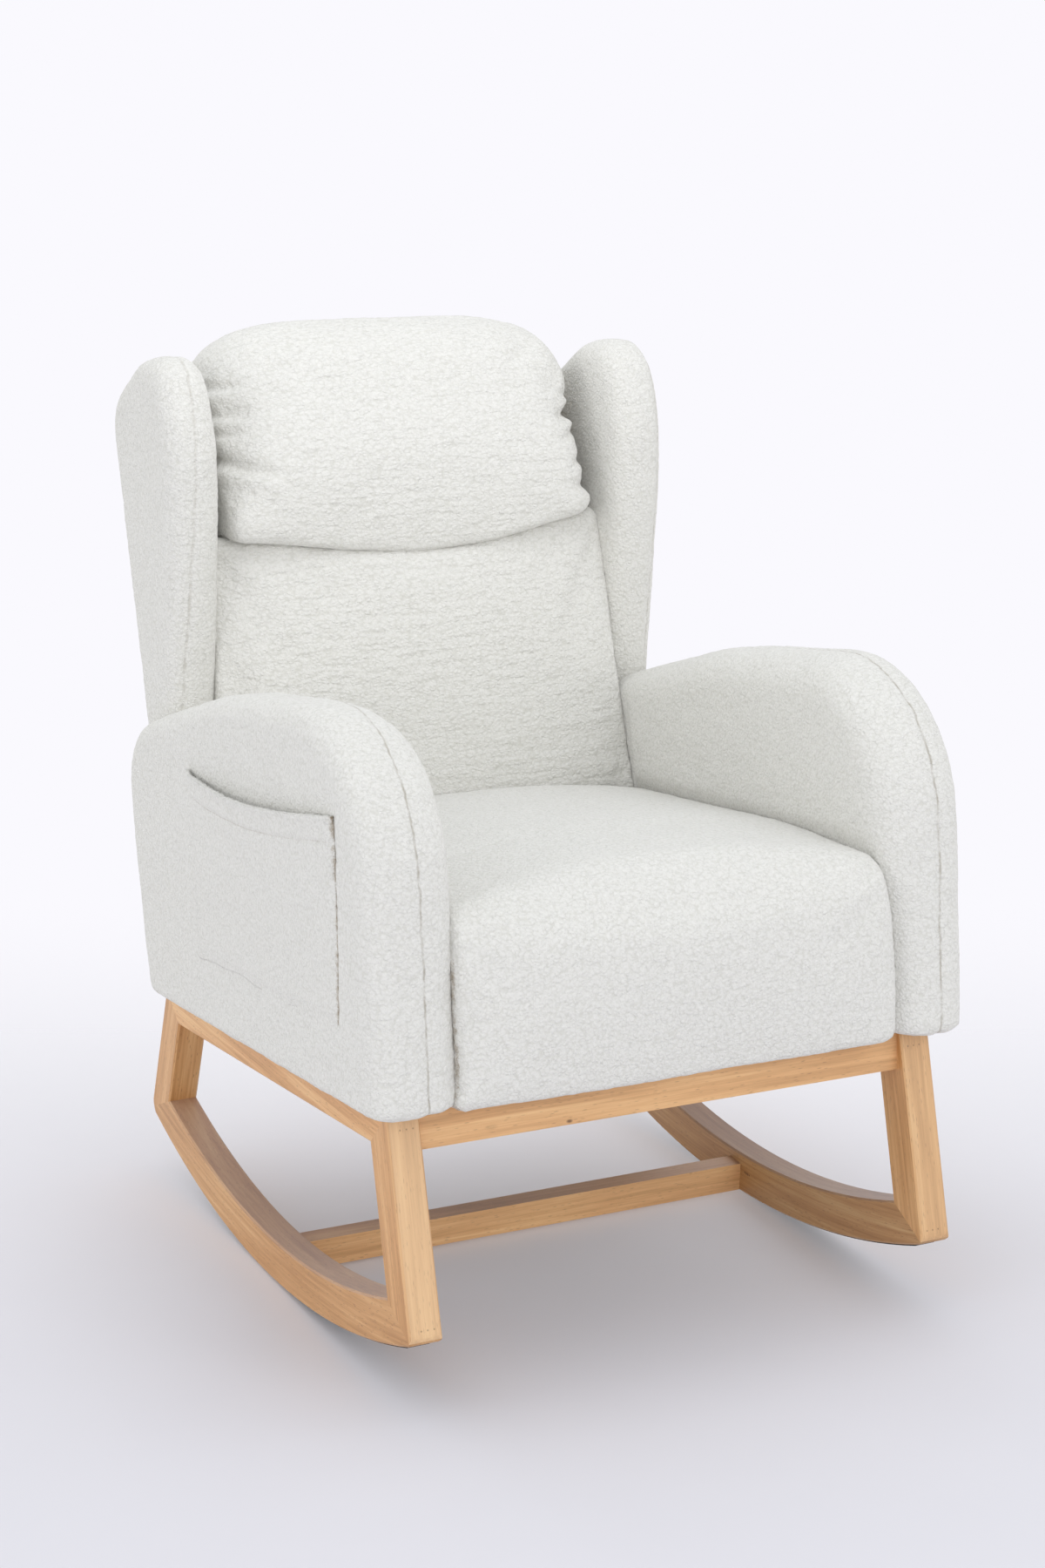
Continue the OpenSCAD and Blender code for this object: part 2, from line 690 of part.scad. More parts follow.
pocket_y = body_front + pocket_set;
pocket_foot = base_h + pocket_z;
pocket_steps_y = 10;
pocket_steps_z = 6;
patch_x = arm_out + gap;
pocket_dip = 10;
function mouth_dip(u) = pocket_dip * sin(180 * u);
function pocket_room_at(u, v) = pocket_room * pow(v, 1.5) * pow(sin(180 * u), 0.5);
function patch_point(u, v, t) = [
    patch_x + pocket_room_at(u, v) + t,
    pocket_y + pocket_l * u,
    pocket_foot + (pocket_h - mouth_dip(u)) * v
];

// The cloth as two grids of points, the inner face first, joined round their border
module patch() {
    nu = pocket_steps_y;
    nv = pocket_steps_z;
    points = [
        for (t = [0, pocket_t], j = [0 : nv], i = [0 : nu]) patch_point(i / nu, j / nv, t)
    ];
    row = nu + 1;
    sheet = row * (nv + 1);
    faces_in = [for (j = [0 : nv - 1], i = [0 : nu - 1])
        let (a = j * row + i, b = a + 1, c = a + row, d = c + 1) each [[a, b, d], [a, d, c]]];
    faces_out = [for (f = faces_in) [f[0] + sheet, f[2] + sheet, f[1] + sheet]];
    border = [
        for (i = [0 : nu - 1]) [i, i + 1],
        for (j = [0 : nv - 1]) [j * row + nu, (j + 1) * row + nu],
        for (i = [nu : -1 : 1]) [nv * row + i, nv * row + i - 1],
        for (j = [nv : -1 : 1]) [j * row, (j - 1) * row]
    ];
    rim = [for (e = border) each [[e[1], e[0], e[0] + sheet], [e[1], e[0] + sheet, e[1] + sheet]]];
    polyhedron(points, concat(faces_in, faces_out, rim));
}
module pocket(s) color(fleece) rested() sided(s) patch();

// Back frame

module back_stile(s) color(pine) rested() sided(s) difference() {
    board(frame_half - stile_w, stile_w, [
        [stile_y(base_h), base_h], [stile_y(base_h) + stile_deep, base_h],
        [stile_y(back_frame_top) + stile_deep, back_frame_top], [stile_y(back_frame_top), back_frame_top]
    ]);
    wing_bolt_holes();
}
stile_deep = stile_d / cos(rear_recline);

module back_rail(z0, z1) color(pine) rested() board(stile_w - frame_half, 2 * (frame_half - stile_w), [
    [stile_y(z0), z0], [stile_y(z0) + stile_deep, z0], [stile_y(z1) + stile_deep, z1], [stile_y(z1), z1]
]);
rail_band = 50;
module back_top_rail() back_rail(back_frame_top - rail_band, back_frame_top);
module back_middle_rail() back_rail(crease_z - rail_band, crease_z);
module back_bottom_rail() back_rail(base_h, base_h + rail_band);

module back_webbing() color(strap) rested() for (i = [0 : 3])
    let (z0 = back_foot + strap_set + i * (crease_z - back_foot - web_w - 3 * strap_set) / 3, z1 = z0 + web_w)
    board(-frame_half, 2 * frame_half, [
        [stile_y(z0) - web_t, z0], [stile_y(z0), z0], [stile_y(z1), z1], [stile_y(z1) - web_t, z1]
    ]);

strap_set = 20;

// Back cushion, drawn in at its sides and swollen in its middle
back_edge = 20;
// Radii of the back cushion's foot in front and behind, its top behind and in front, and its lower face
back_radii = [6, 4, 5, 34, 200];
// Height of its fullest line over the middle
back_high = 40;
function back_section(x) =
    let (
        e = fullness(x, seat_half, full_power),
        top = crease(x) - gap,
        mid = (back_foot + top) / 2 + back_high,
        rear = web_t + gap
    )
    inset([
        [face_y(back_foot) + back_lift, back_foot, back_radii[0]],
        [stile_y(back_foot) - rear, back_foot, back_radii[1]],
        [stile_y(top) - rear, top, back_radii[2]],
        [face_y(top) - back_swell * 1.15 * e, top, back_radii[3]],
        [face_y(mid) - back_swell * 0.95 * e, mid, flat_r],
        [face_y(seat_z) - back_lift * e, seat_z - crease_dip, back_radii[4]]
    ], edge_drop(x, seat_half - gap, back_edge) * 0.7 + 0.001);

// Room for the loose filling, which weighs next to nothing, open to the webbing behind it
module filling_room(z0, z1, fore, half) board(-half, 2 * half, [
    [face_y(z0) - fore + cover_t, z0], [rear_y(z0), z0],
    [rear_y(z1), z1], [face_y(z1) - fore + cover_t, z1]
]);

module back_cushion() color(fleece) rested() difference() {
    skin([for (x = stations(seat_half - gap, back_edge)) at_x(x, rounded(back_section(x), 5))]);
    filling_room(back_foot + 3 * cover_t, crease_z - crease_dip - cover_t, back_swell * side_share,
        seat_half - cover_t - back_edge / 2);
}

// Head roll: a full pillow over the top of the back, its ends drawn down and gathered
head_half = head_w / 2;
head_edge = 34;
// Radii of the roll's foot in front and behind, its top behind and in front, and its face
head_radii = [26, 10, 66, 80, 220];
// The power that squares its ends, and the height of the ends over the line below it
head_power = 4.4;
head_end_h = 80;
// Height of its fullest line over that line, and how far its top is higher in front than behind
head_waist = 70;
head_fall = 16;
function head_section(x) =
    let (
        s = pow(max(0, fullness(x, head_half + head_fall / 4, head_power)), 1 / head_power),
        foot = crease(x) + gap,
        top = crease_z + head_end_h + (head_h - crease_h - head_end_h) * s,
        waist = crease_z + head_waist
    )
    inset([
        [face_y(foot) - head_swell * (0.55 + 0.45 * s), foot, head_radii[0]],
        [rear_y(foot), foot, head_radii[1]],
        [rear_y(top) + head_fall / 4, top - head_fall, head_radii[2]],
        [face_y(top) - head_swell * 0.2 * s, top, head_radii[3]],
        [face_y(waist) - head_swell * (0.25 + 0.95 * s), waist, head_radii[4]]
    ], edge_drop(x, head_half, head_edge) * 0.8 + 0.001);

module head_roll() color(fleece) rested() difference() {
    skin([for (x = stations(head_half, head_edge)) at_x(x, rounded(head_section(x), 6))]);
    board(-seat_half, seat_w, [
        [stile_y(crease_z - 2 * beyond) - web_t - gap, crease_z - 2 * beyond],
        [rear_y(crease_z) + 3 * beyond, crease_z - 2 * beyond],
        [rear_y(back_frame_top) + 3 * beyond, back_frame_top + gap],
        [stile_y(back_frame_top) - web_t - gap, back_frame_top + gap]
    ]);
    filling_room(crease_z + cover_t, back_frame_top, head_swell * 0.8, head_half - cover_t - head_edge / 2);
    room_top = head_top - 3 * cover_t;
    board(cover_t + head_edge / 2 - head_half, 2 * head_half - 2 * cover_t - head_edge, [
        [face_y(back_frame_top) + cover_t - head_swell * side_share, back_frame_top - 1],
        [rear_y(back_frame_top) - cover_t, back_frame_top - 1],
        [rear_y(room_top) - cover_t - 10, room_top],
        [face_y(room_top) + cover_t, room_top]
    ]);
}

module outer_back() color(fleece) rested() board(gap - seat_half, seat_w - 2 * gap, [
    [stile_y(base_h) + stile_deep, base_h], [rear_y(base_h), base_h],
    [rear_y(back_frame_top), back_frame_top], [stile_y(back_frame_top) + stile_deep, back_frame_top]
]);

// Wings

wing_foot = base_h + arm_h - arm_fall + 8;
// Depth of the wing's foot inside the arm, and its distance behind the wing's front
wing_tuck = 30;
wing_foot_set = 62;
// Drop of its rear shoulder, and depth of its highest stretch
wing_drop = 50;
wing_crest = 106;
// Height of its widest point between the arm's and the wing's tops, and the bow of its front edge
wing_wide = 0.62;
wing_bow = 8;
// Radii of the foot, the rear shoulder, the crest behind and in front, the widest point and the waist
wing_radii = [4, 10, 64, 95, 82, 170, 400];
// The plywood in the wing reaches back far enough to take the bolts through the back's uprights
wing_panel_set = 14;
function wing_corners() =
    let (
        rear = rear_y(wing_top - wing_drop - 20),
        front = rear - wing_d - 18,
        widest = base_h + arm_h + (wing_h - arm_h) * wing_wide
    )
    [
        [front + wing_foot_set, wing_foot - wing_tuck, wing_radii[0]],
        [rear_y(wing_foot) - wing_panel_set, wing_foot - wing_tuck, wing_radii[1]],
        [rear_y(wing_top - wing_drop) + 2, wing_top - wing_drop, wing_radii[2]],
        [rear - wing_crest, wing_top + 2, wing_radii[3]],
        [front + wing_tuck - 4, wing_top + 2, wing_radii[4]],
        [front - wing_bow, widest + 44, wing_radii[5]],
        [front + wing_bow / 2, widest - 60, wing_radii[6]]
    ];

module wing_form() padded_panel(wing_corners(), seat_half + gap, wing_out, wing_edge_r, 0, 4);

function wing_panel_outline(grow) =
    let (c = inset(wing_corners(), padding + 6 - grow))
    rounded([
        for (i = [0 : len(c) - 1])
            i == 1 || i == 2 ? [rear_y(c[i].y) - wing_panel_set + grow, c[i].y, c[i].z] : c[i]
    ], 4);

module wing_panel(s) color(ply) rested() sided(s) difference() {
    board(wing_panel_x, wing_panel_t, wing_panel_outline(0));
    wing_bolt_holes();
}

module wing_pad(s) color(fleece) rested() sided(s) difference() {
    wing_form();
    arm_form(gap);
    board(wing_panel_x - gap, wing_panel_t + 2 * gap, wing_panel_outline(gap));
    wing_block_room();
}

wing_block_h = 60;
wing_block_d = stile_d - 6;
module wing_block_spots() for (z = wing_bolt_zs)
    translate([0, stile_y(z) + stile_deep / 2, z]) rotate([-rear_recline, 0, 0]) children();
module wing_block_room() wing_block_spots() span([frame_half, wing_panel_x + 1],
    [-1, 1] * (wing_block_d / 2 + gap), [-1, 1] * (wing_block_h / 2 + gap));
module wing_bolt_holes() wing_block_spots()
    pin_x(frame_half - stile_w - 1, 0, 0, wing_out, bolt_r + bore_gap);

module wing_blocks() color(pine) rested() for (s = SIDES) sided(s) difference() {
    wing_block_spots()
        span([frame_half, wing_panel_x], [-1, 1] * wing_block_d / 2, [-1, 1] * wing_block_h / 2);
    wing_bolt_holes();
}
module wing_bolts() color(steel) rested() for (s = SIDES) sided(s)
    wing_block_spots() cross_bolt(frame_half - stile_w, wing_panel_x + wing_panel_t);

module runner(s) side_frame_part(s) runner_body();
module front_leg(s) side_frame_part(s) front_leg_body();
module rear_leg(s) side_frame_part(s) rear_leg_body();
module side_rail(s) side_frame_part(s) side_rail_body();
module rail_dowels() color(pine) rested() for (s = SIDES) sided(s) rail_pins(dowel_r, dowel_l);
module stretcher_dowels() color(pine) rested() for (s = SIDES) sided(s) stretcher_pins(dowel_r, dowel_l);

runner(1);  // runner_left
runner(-1);  // runner_right
front_leg(1);  // front_leg_left
front_leg(-1);  // front_leg_right
rear_leg(1);  // rear_leg_left
rear_leg(-1);  // rear_leg_right
side_rail(1);  // side_rail_left
side_rail(-1);  // side_rail_right
color(wood) rested() cross_rail(front_rail_span);  // front_rail
color(wood) rested() cross_rail(rear_rail_span);  // rear_rail
stretcher_block();  // stretcher
grip_strip(1);  // grip_strip_left
grip_strip(-1);  // grip_strip_right
corner_blocks();
rail_dowels();
stretcher_dowels();
base_bolts();
base_washers();
seat_front_rail();
seat_side_rail(1);  // seat_side_rail_left
seat_side_rail(-1);  // seat_side_rail_right
seat_rear_rail();
seat_webbing();
seat_cross_webbing();
seat_foam();
seat_cushion();
dust_cover();
arm_panel(1);  // arm_panel_left
arm_panel(-1);  // arm_panel_right
arm_pad(1);  // arm_pad_left
arm_pad(-1);  // arm_pad_right
arm_blocks();
arm_bolts();
pocket(1);  // pocket_left
pocket(-1);  // pocket_right
back_stile(1);  // back_stile_left
back_stile(-1);  // back_stile_right
back_top_rail();
back_middle_rail();
back_bottom_rail();
back_webbing();
back_cushion();
head_roll();
outer_back();
wing_panel(1);  // wing_panel_left
wing_panel(-1);  // wing_panel_right
wing_pad(1);  // wing_pad_left
wing_pad(-1);  // wing_pad_right
wing_blocks();
wing_bolts();
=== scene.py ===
import math
from functools import partial

import bmesh
import bpy
import numpy as np
from mathutils import Matrix, Vector, noise


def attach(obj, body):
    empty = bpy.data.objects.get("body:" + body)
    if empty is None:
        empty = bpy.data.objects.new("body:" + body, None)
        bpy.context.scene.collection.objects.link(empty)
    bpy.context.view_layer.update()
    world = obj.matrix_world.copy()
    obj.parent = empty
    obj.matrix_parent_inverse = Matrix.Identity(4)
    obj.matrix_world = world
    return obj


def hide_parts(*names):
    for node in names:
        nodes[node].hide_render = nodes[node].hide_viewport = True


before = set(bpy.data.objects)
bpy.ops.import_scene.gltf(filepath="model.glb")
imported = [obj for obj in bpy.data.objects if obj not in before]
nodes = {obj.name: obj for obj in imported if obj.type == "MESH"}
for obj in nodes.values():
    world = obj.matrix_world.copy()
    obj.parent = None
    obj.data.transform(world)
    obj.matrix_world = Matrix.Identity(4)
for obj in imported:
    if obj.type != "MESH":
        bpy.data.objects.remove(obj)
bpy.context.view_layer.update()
print("frame loaded:", len(nodes), "nodes")

# The side view is in millimetres: y from front to back, z up from the runners' lowest point.
# The finished chair leans back on its runners by restTilt. Leans are in degrees from upright.
chair = {
    "rockRadius": 1142.0,
    "stripThickness": 2.0,
    "restTilt": 5.2,
    "frontLegLean": 8.9,
    "rearLegLean": -27.5,
    "baseHeight": 274.0,
    "bodyFront": -320.65,
    "bodyDepth": 710.0,
    "seatHalf": 258.0,
    "seatDepth": 592.0,
    "seatThickness": 203.0,
    "faceLean": 11.1,
    "rearLean": 8.8,
    "boardThickness": 8.0,
    "stileThickness": 28.0,
    "armThickness": 90.0,
    "wingThickness": 62.0,
}
tilt = math.radians(chair["restTilt"])
bodyRear = chair["bodyFront"] + chair["bodyDepth"]
seatEdgeZ = chair["baseHeight"] + chair["seatThickness"]


def faceY(z):  # where the back's face meets the seat, the arms and the wings
    slope = math.tan(math.radians(chair["faceLean"]))
    return chair["bodyFront"] + chair["seatDepth"] + (z - seatEdgeZ) * slope


def rearY(z):
    return bodyRear + (z - chair["baseHeight"]) * math.tan(math.radians(chair["rearLean"]))


def toWorld(points):  # side view millimetres to metres on the floor
    p = np.asarray(points, float).reshape(-1, 3)
    dz = p[:, 2] - chair["rockRadius"]
    y = p[:, 1] * math.cos(tilt) + dz * math.sin(tilt)
    z = -p[:, 1] * math.sin(tilt) + dz * math.cos(tilt) + chair["rockRadius"] + chair["stripThickness"]
    return np.stack([p[:, 0], y, z], 1) / 1000.0


def toChair(points):
    p = np.asarray(points, float).reshape(-1, 3) * 1000.0
    dz = p[:, 2] - chair["rockRadius"] - chair["stripThickness"]
    y = p[:, 1] * math.cos(tilt) - dz * math.sin(tilt)
    z = p[:, 1] * math.sin(tilt) + dz * math.cos(tilt) + chair["rockRadius"]
    return np.stack([p[:, 0], y, z], 1)


# Materials

def linear(hexColour):
    channels = [int(hexColour[i:i + 2], 16) / 255 for i in (1, 3, 5)]
    return [c / 12.92 if c <= 0.04045 else ((c + 0.055) / 1.055) ** 2.4 for c in channels] + [1.0]


def addNode(tree, kind, inputs=None, stops=(), **settings):
    node = tree.nodes.new("ShaderNode" + kind)
    for name, value in settings.items():
        setattr(node, name, value)
    for name, value in (inputs or {}).items():
        if isinstance(value, bpy.types.NodeSocket):
            tree.links.new(value, node.inputs[name])
        else:
            node.inputs[name].default_value = value
    for i, (position, hexColour) in enumerate(stops):
        elements = node.color_ramp.elements
        element = elements[i] if i < len(elements) else elements.new(position)
        element.position = position
        element.color = linear(hexColour)
    return node


def newMaterial(name):
    material = bpy.data.materials.new(name)
    material.use_nodes = True
    material.node_tree.nodes.clear()
    return material, partial(addNode, material.node_tree)


def weighted(add, layers, start=0.0):  # start plus each pattern times its weight
    total = start
    for pattern, weight in layers:
        total = add("Math", {0: pattern, 1: weight, 2: total}, operation="MULTIPLY_ADD").outputs[0]
    return total


def covered(add, colour, covers):  # the colour under each cover's colour, by the cover's share
    for share, hexColour in covers:
        colour = add("Mix", {0: share, 6: colour, 7: linear(hexColour)}, data_type="RGBA").outputs[2]
    return colour


# Sherpa fleece: knitted polyester with a brushed pile that curls into small tight loops. The loops
# lie in loose rows on the back and without order elsewhere; painted shade greys the gaps between them.
# Sizes are in millimetres, and relief is how much each pattern adds to the height.
fleece = {
    "curlSize": 3.4,
    "curlDepth": 1.25,
    "curlStretch": 1.15,
    "rowStretch": 1.5,
    "driftSize": 8.0,
    "drift": 4.5,
    "pileSize": 1.6,
    "clumpSize": 16.0,
    "rippleHeight": 9.0,
    "rippleWidth": 60.0,
    "swaySize": 27.78,
    "sway": 8.0,
    "relief": {"edges": 0.22, "heads": -0.9, "pile": 0.7, "ripples": 0.8, "rowRipples": 2.5, "seam": -0.35},
    # the first colour is painted shade in the gaps between the curls
    "gap": "#DBDAD4",
    "tip": "#E8E7E3",
    "crest": "#E9E8E4",
    # the seam colour is painted shade in the crack of a sewn line
    "seam": "#B4AEA2",
    # the brown of painted shade deep in gaps and along sewn lines
    "shadeBrown": "#A39582",
    "sheen": 0.15,
}


# seam is the place of a sewn line across the chair and lean its slope over the height
def fleeceMaterial(name, seam=None, lean=0.0, seamWidth=2.2, seamShow=1.0, inRows=False):
    material, add = newMaterial(name)
    relief = fleece["relief"]
    place = add("TexCoord").outputs["Object"]
    drift = add("TexNoise", {"Vector": place, "Scale": 1000 / fleece["driftSize"], "Detail": 1.0})
    shift = add("VectorMath", {0: drift.outputs["Color"], 1: (0.5, 0.5, 0.5)}, operation="SUBTRACT")
    shift = add("VectorMath", {0: shift.outputs[0], "Scale": fleece["drift"] / 1000},
                operation="SCALE").outputs[0]
    warped = add("VectorMath", {0: place, 1: shift}, operation="ADD").outputs[0]
    stretch = fleece["rowStretch"] if inRows else fleece["curlStretch"]
    rows = add("Mapping", {"Vector": warped, "Scale": (1 / stretch, 1.0, 1.0)}).outputs[0]
    curlScale = 1000 / fleece["curlSize"]
    edges = add("TexVoronoi", {"Vector": rows, "Scale": curlScale}, feature="DISTANCE_TO_EDGE")
    edges = add("MapRange", {"Value": edges.outputs["Distance"], "From Max": 0.45},
                interpolation_type="SMOOTHSTEP").outputs[0]
    heads = add("TexVoronoi", {"Vector": rows, "Scale": curlScale, "Smoothness": 0.7},
                feature="SMOOTH_F1").outputs["Distance"]
    pile = add("TexNoise", {"Vector": warped, "Scale": 1000 / fleece["pileSize"], "Detail": 2.0,
                            "Roughness": 0.6}).outputs["Fac"]
    height = weighted(add, [(edges, relief["edges"]), (heads, relief["heads"]), (pile, relief["pile"])])
    shade = add("MapRange", {"Value": height, "From Min": -0.35, "From Max": 0.45}).outputs[0]
    # painted shade: the colour goes from grey in the low gaps between the curls to lighter at their tops
    colour = add("ValToRGB", {"Fac": shade},
                 stops=[(0.0, fleece["gap"]), (0.5, fleece["tip"]), (1.0, fleece["crest"])]).outputs["Color"]
    flattened = (fleece["rippleHeight"] / fleece["rippleWidth"], 1.0, 1.0)
    ripples = add("Mapping", {"Vector": place, "Scale": flattened}).outputs[0]
    ripples = add("TexNoise", {"Vector": ripples, "Scale": 1000 / fleece["rippleHeight"],
                               "Detail": 1.0}).outputs["Fac"]
    height = weighted(add, [(ripples, relief["rowRipples" if inRows else "ripples"])], height)
    if seam is not None:
        parts = add("SeparateXYZ", {0: place}).outputs
        sway = add("TexNoise", {"Vector": place, "Scale": 1000 / fleece["swaySize"], "Detail": 3.0,
                                "Roughness": 0.7}).outputs["Fac"]
        width = fleece["sway"] / 1000
        layers = [(parts["X"], 1.0), (parts["Z"], -lean), (sway, width)]
        offset = weighted(add, layers, -seam / 1000 - width / 2)
        offset = add("Math", {0: offset}, operation="ABSOLUTE").outputs[0]
        crack = add("MapRange", {"Value": offset, "From Max": seamWidth / 1000, "To Min": 1.0,
                                 "To Max": 0.0}, interpolation_type="SMOOTHSTEP").outputs[0]
        # the seam's crack is painted grey as painted shade, and here and there the pile hides it
        clumps = add("TexNoise", {"Vector": place, "Scale": 1000 / fleece["clumpSize"], "Detail": 2.0})
        shown = add("MapRange", {"Value": clumps.outputs["Fac"], "From Min": 0.4, "From Max": 0.62,
                                 "To Min": 0.25 * seamShow, "To Max": 0.85 * seamShow}).outputs[0]
        dark = add("Math", {0: crack, 1: shown}, operation="MULTIPLY").outputs[0]
        colour = covered(add, colour, [(dark, fleece["seam"])])
        height = weighted(add, [(crack, relief["seam"])], height)
    # the point attribute marks where brown painted shade is laid into gaps and along sewn lines
    paintedShade = add("Attribute", attribute_name="paintedShade").outputs["Fac"]
    shadeShown = add("MapRange", {"Value": weighted(add, [(pile, 0.8)], paintedShade), "From Min": 0.75,
                            "From Max": 1.15}).outputs[0]
    marked = add("Math", {0: paintedShade, 1: 0.02}, operation="GREATER_THAN").outputs[0]
    shadeShown = add("Math", {0: shadeShown, 1: marked}, operation="MULTIPLY").outputs[0]
    colour = covered(add, colour, [(shadeShown, fleece["shadeBrown"])])
    bump = add("Bump", {"Height": height, "Strength": 1.0, "Distance": fleece["curlDepth"] / 1000})
    shader = add("BsdfPrincipled", {
        "Base Color": colour, "Normal": bump.outputs[0], "Roughness": 0.95, "Specular IOR Level": 0.1,
        "Sheen Weight": fleece["sheen"], "Sheen Roughness": 0.55,
    })
    add("OutputMaterial", {"Surface": shader.outputs[0]})
    return material


# Rubberwood with a clear satin lacquer: honey brown, straight fine grain with short dark pores,
# now and then a brown streak. The grain runs along each member. Sizes are in millimetres. along is
# a pattern's width over its length, share how much it adds to the blend of the colours, and cover
# how much of the blend the pores and the painted shade on upward faces hide.
rubberwood = {
    "light": "#EABF88",
    "mid": "#D6A26B",
    "dark": "#B9844F",
    "frontHighlight": "#F4DAB4",
    "upShade": "#A89898",
    "pore": "#84512C",
    "knot": "#5E4029",
    "ringSize": 19.8,
    "streakSize": 3.8,
    "bendSize": 71.43,
    "fibreSize": 1.6129,
    "poreWidth": 2.0,
    "poreLength": 14.0,
    "along": {"rings": 0.07, "streaks": 0.018, "fibres": 0.03},
    "share": {"rings": 0.4, "fibres": 0.2, "bend": 0.1, "streaks": 0.34},
    "cover": {"pores": 0.6, "upShade": 0.45},
    "relief": 0.4,
    "smoothest": 0.42,
    "roughest": 0.56,
    "coat": 0.25,
}


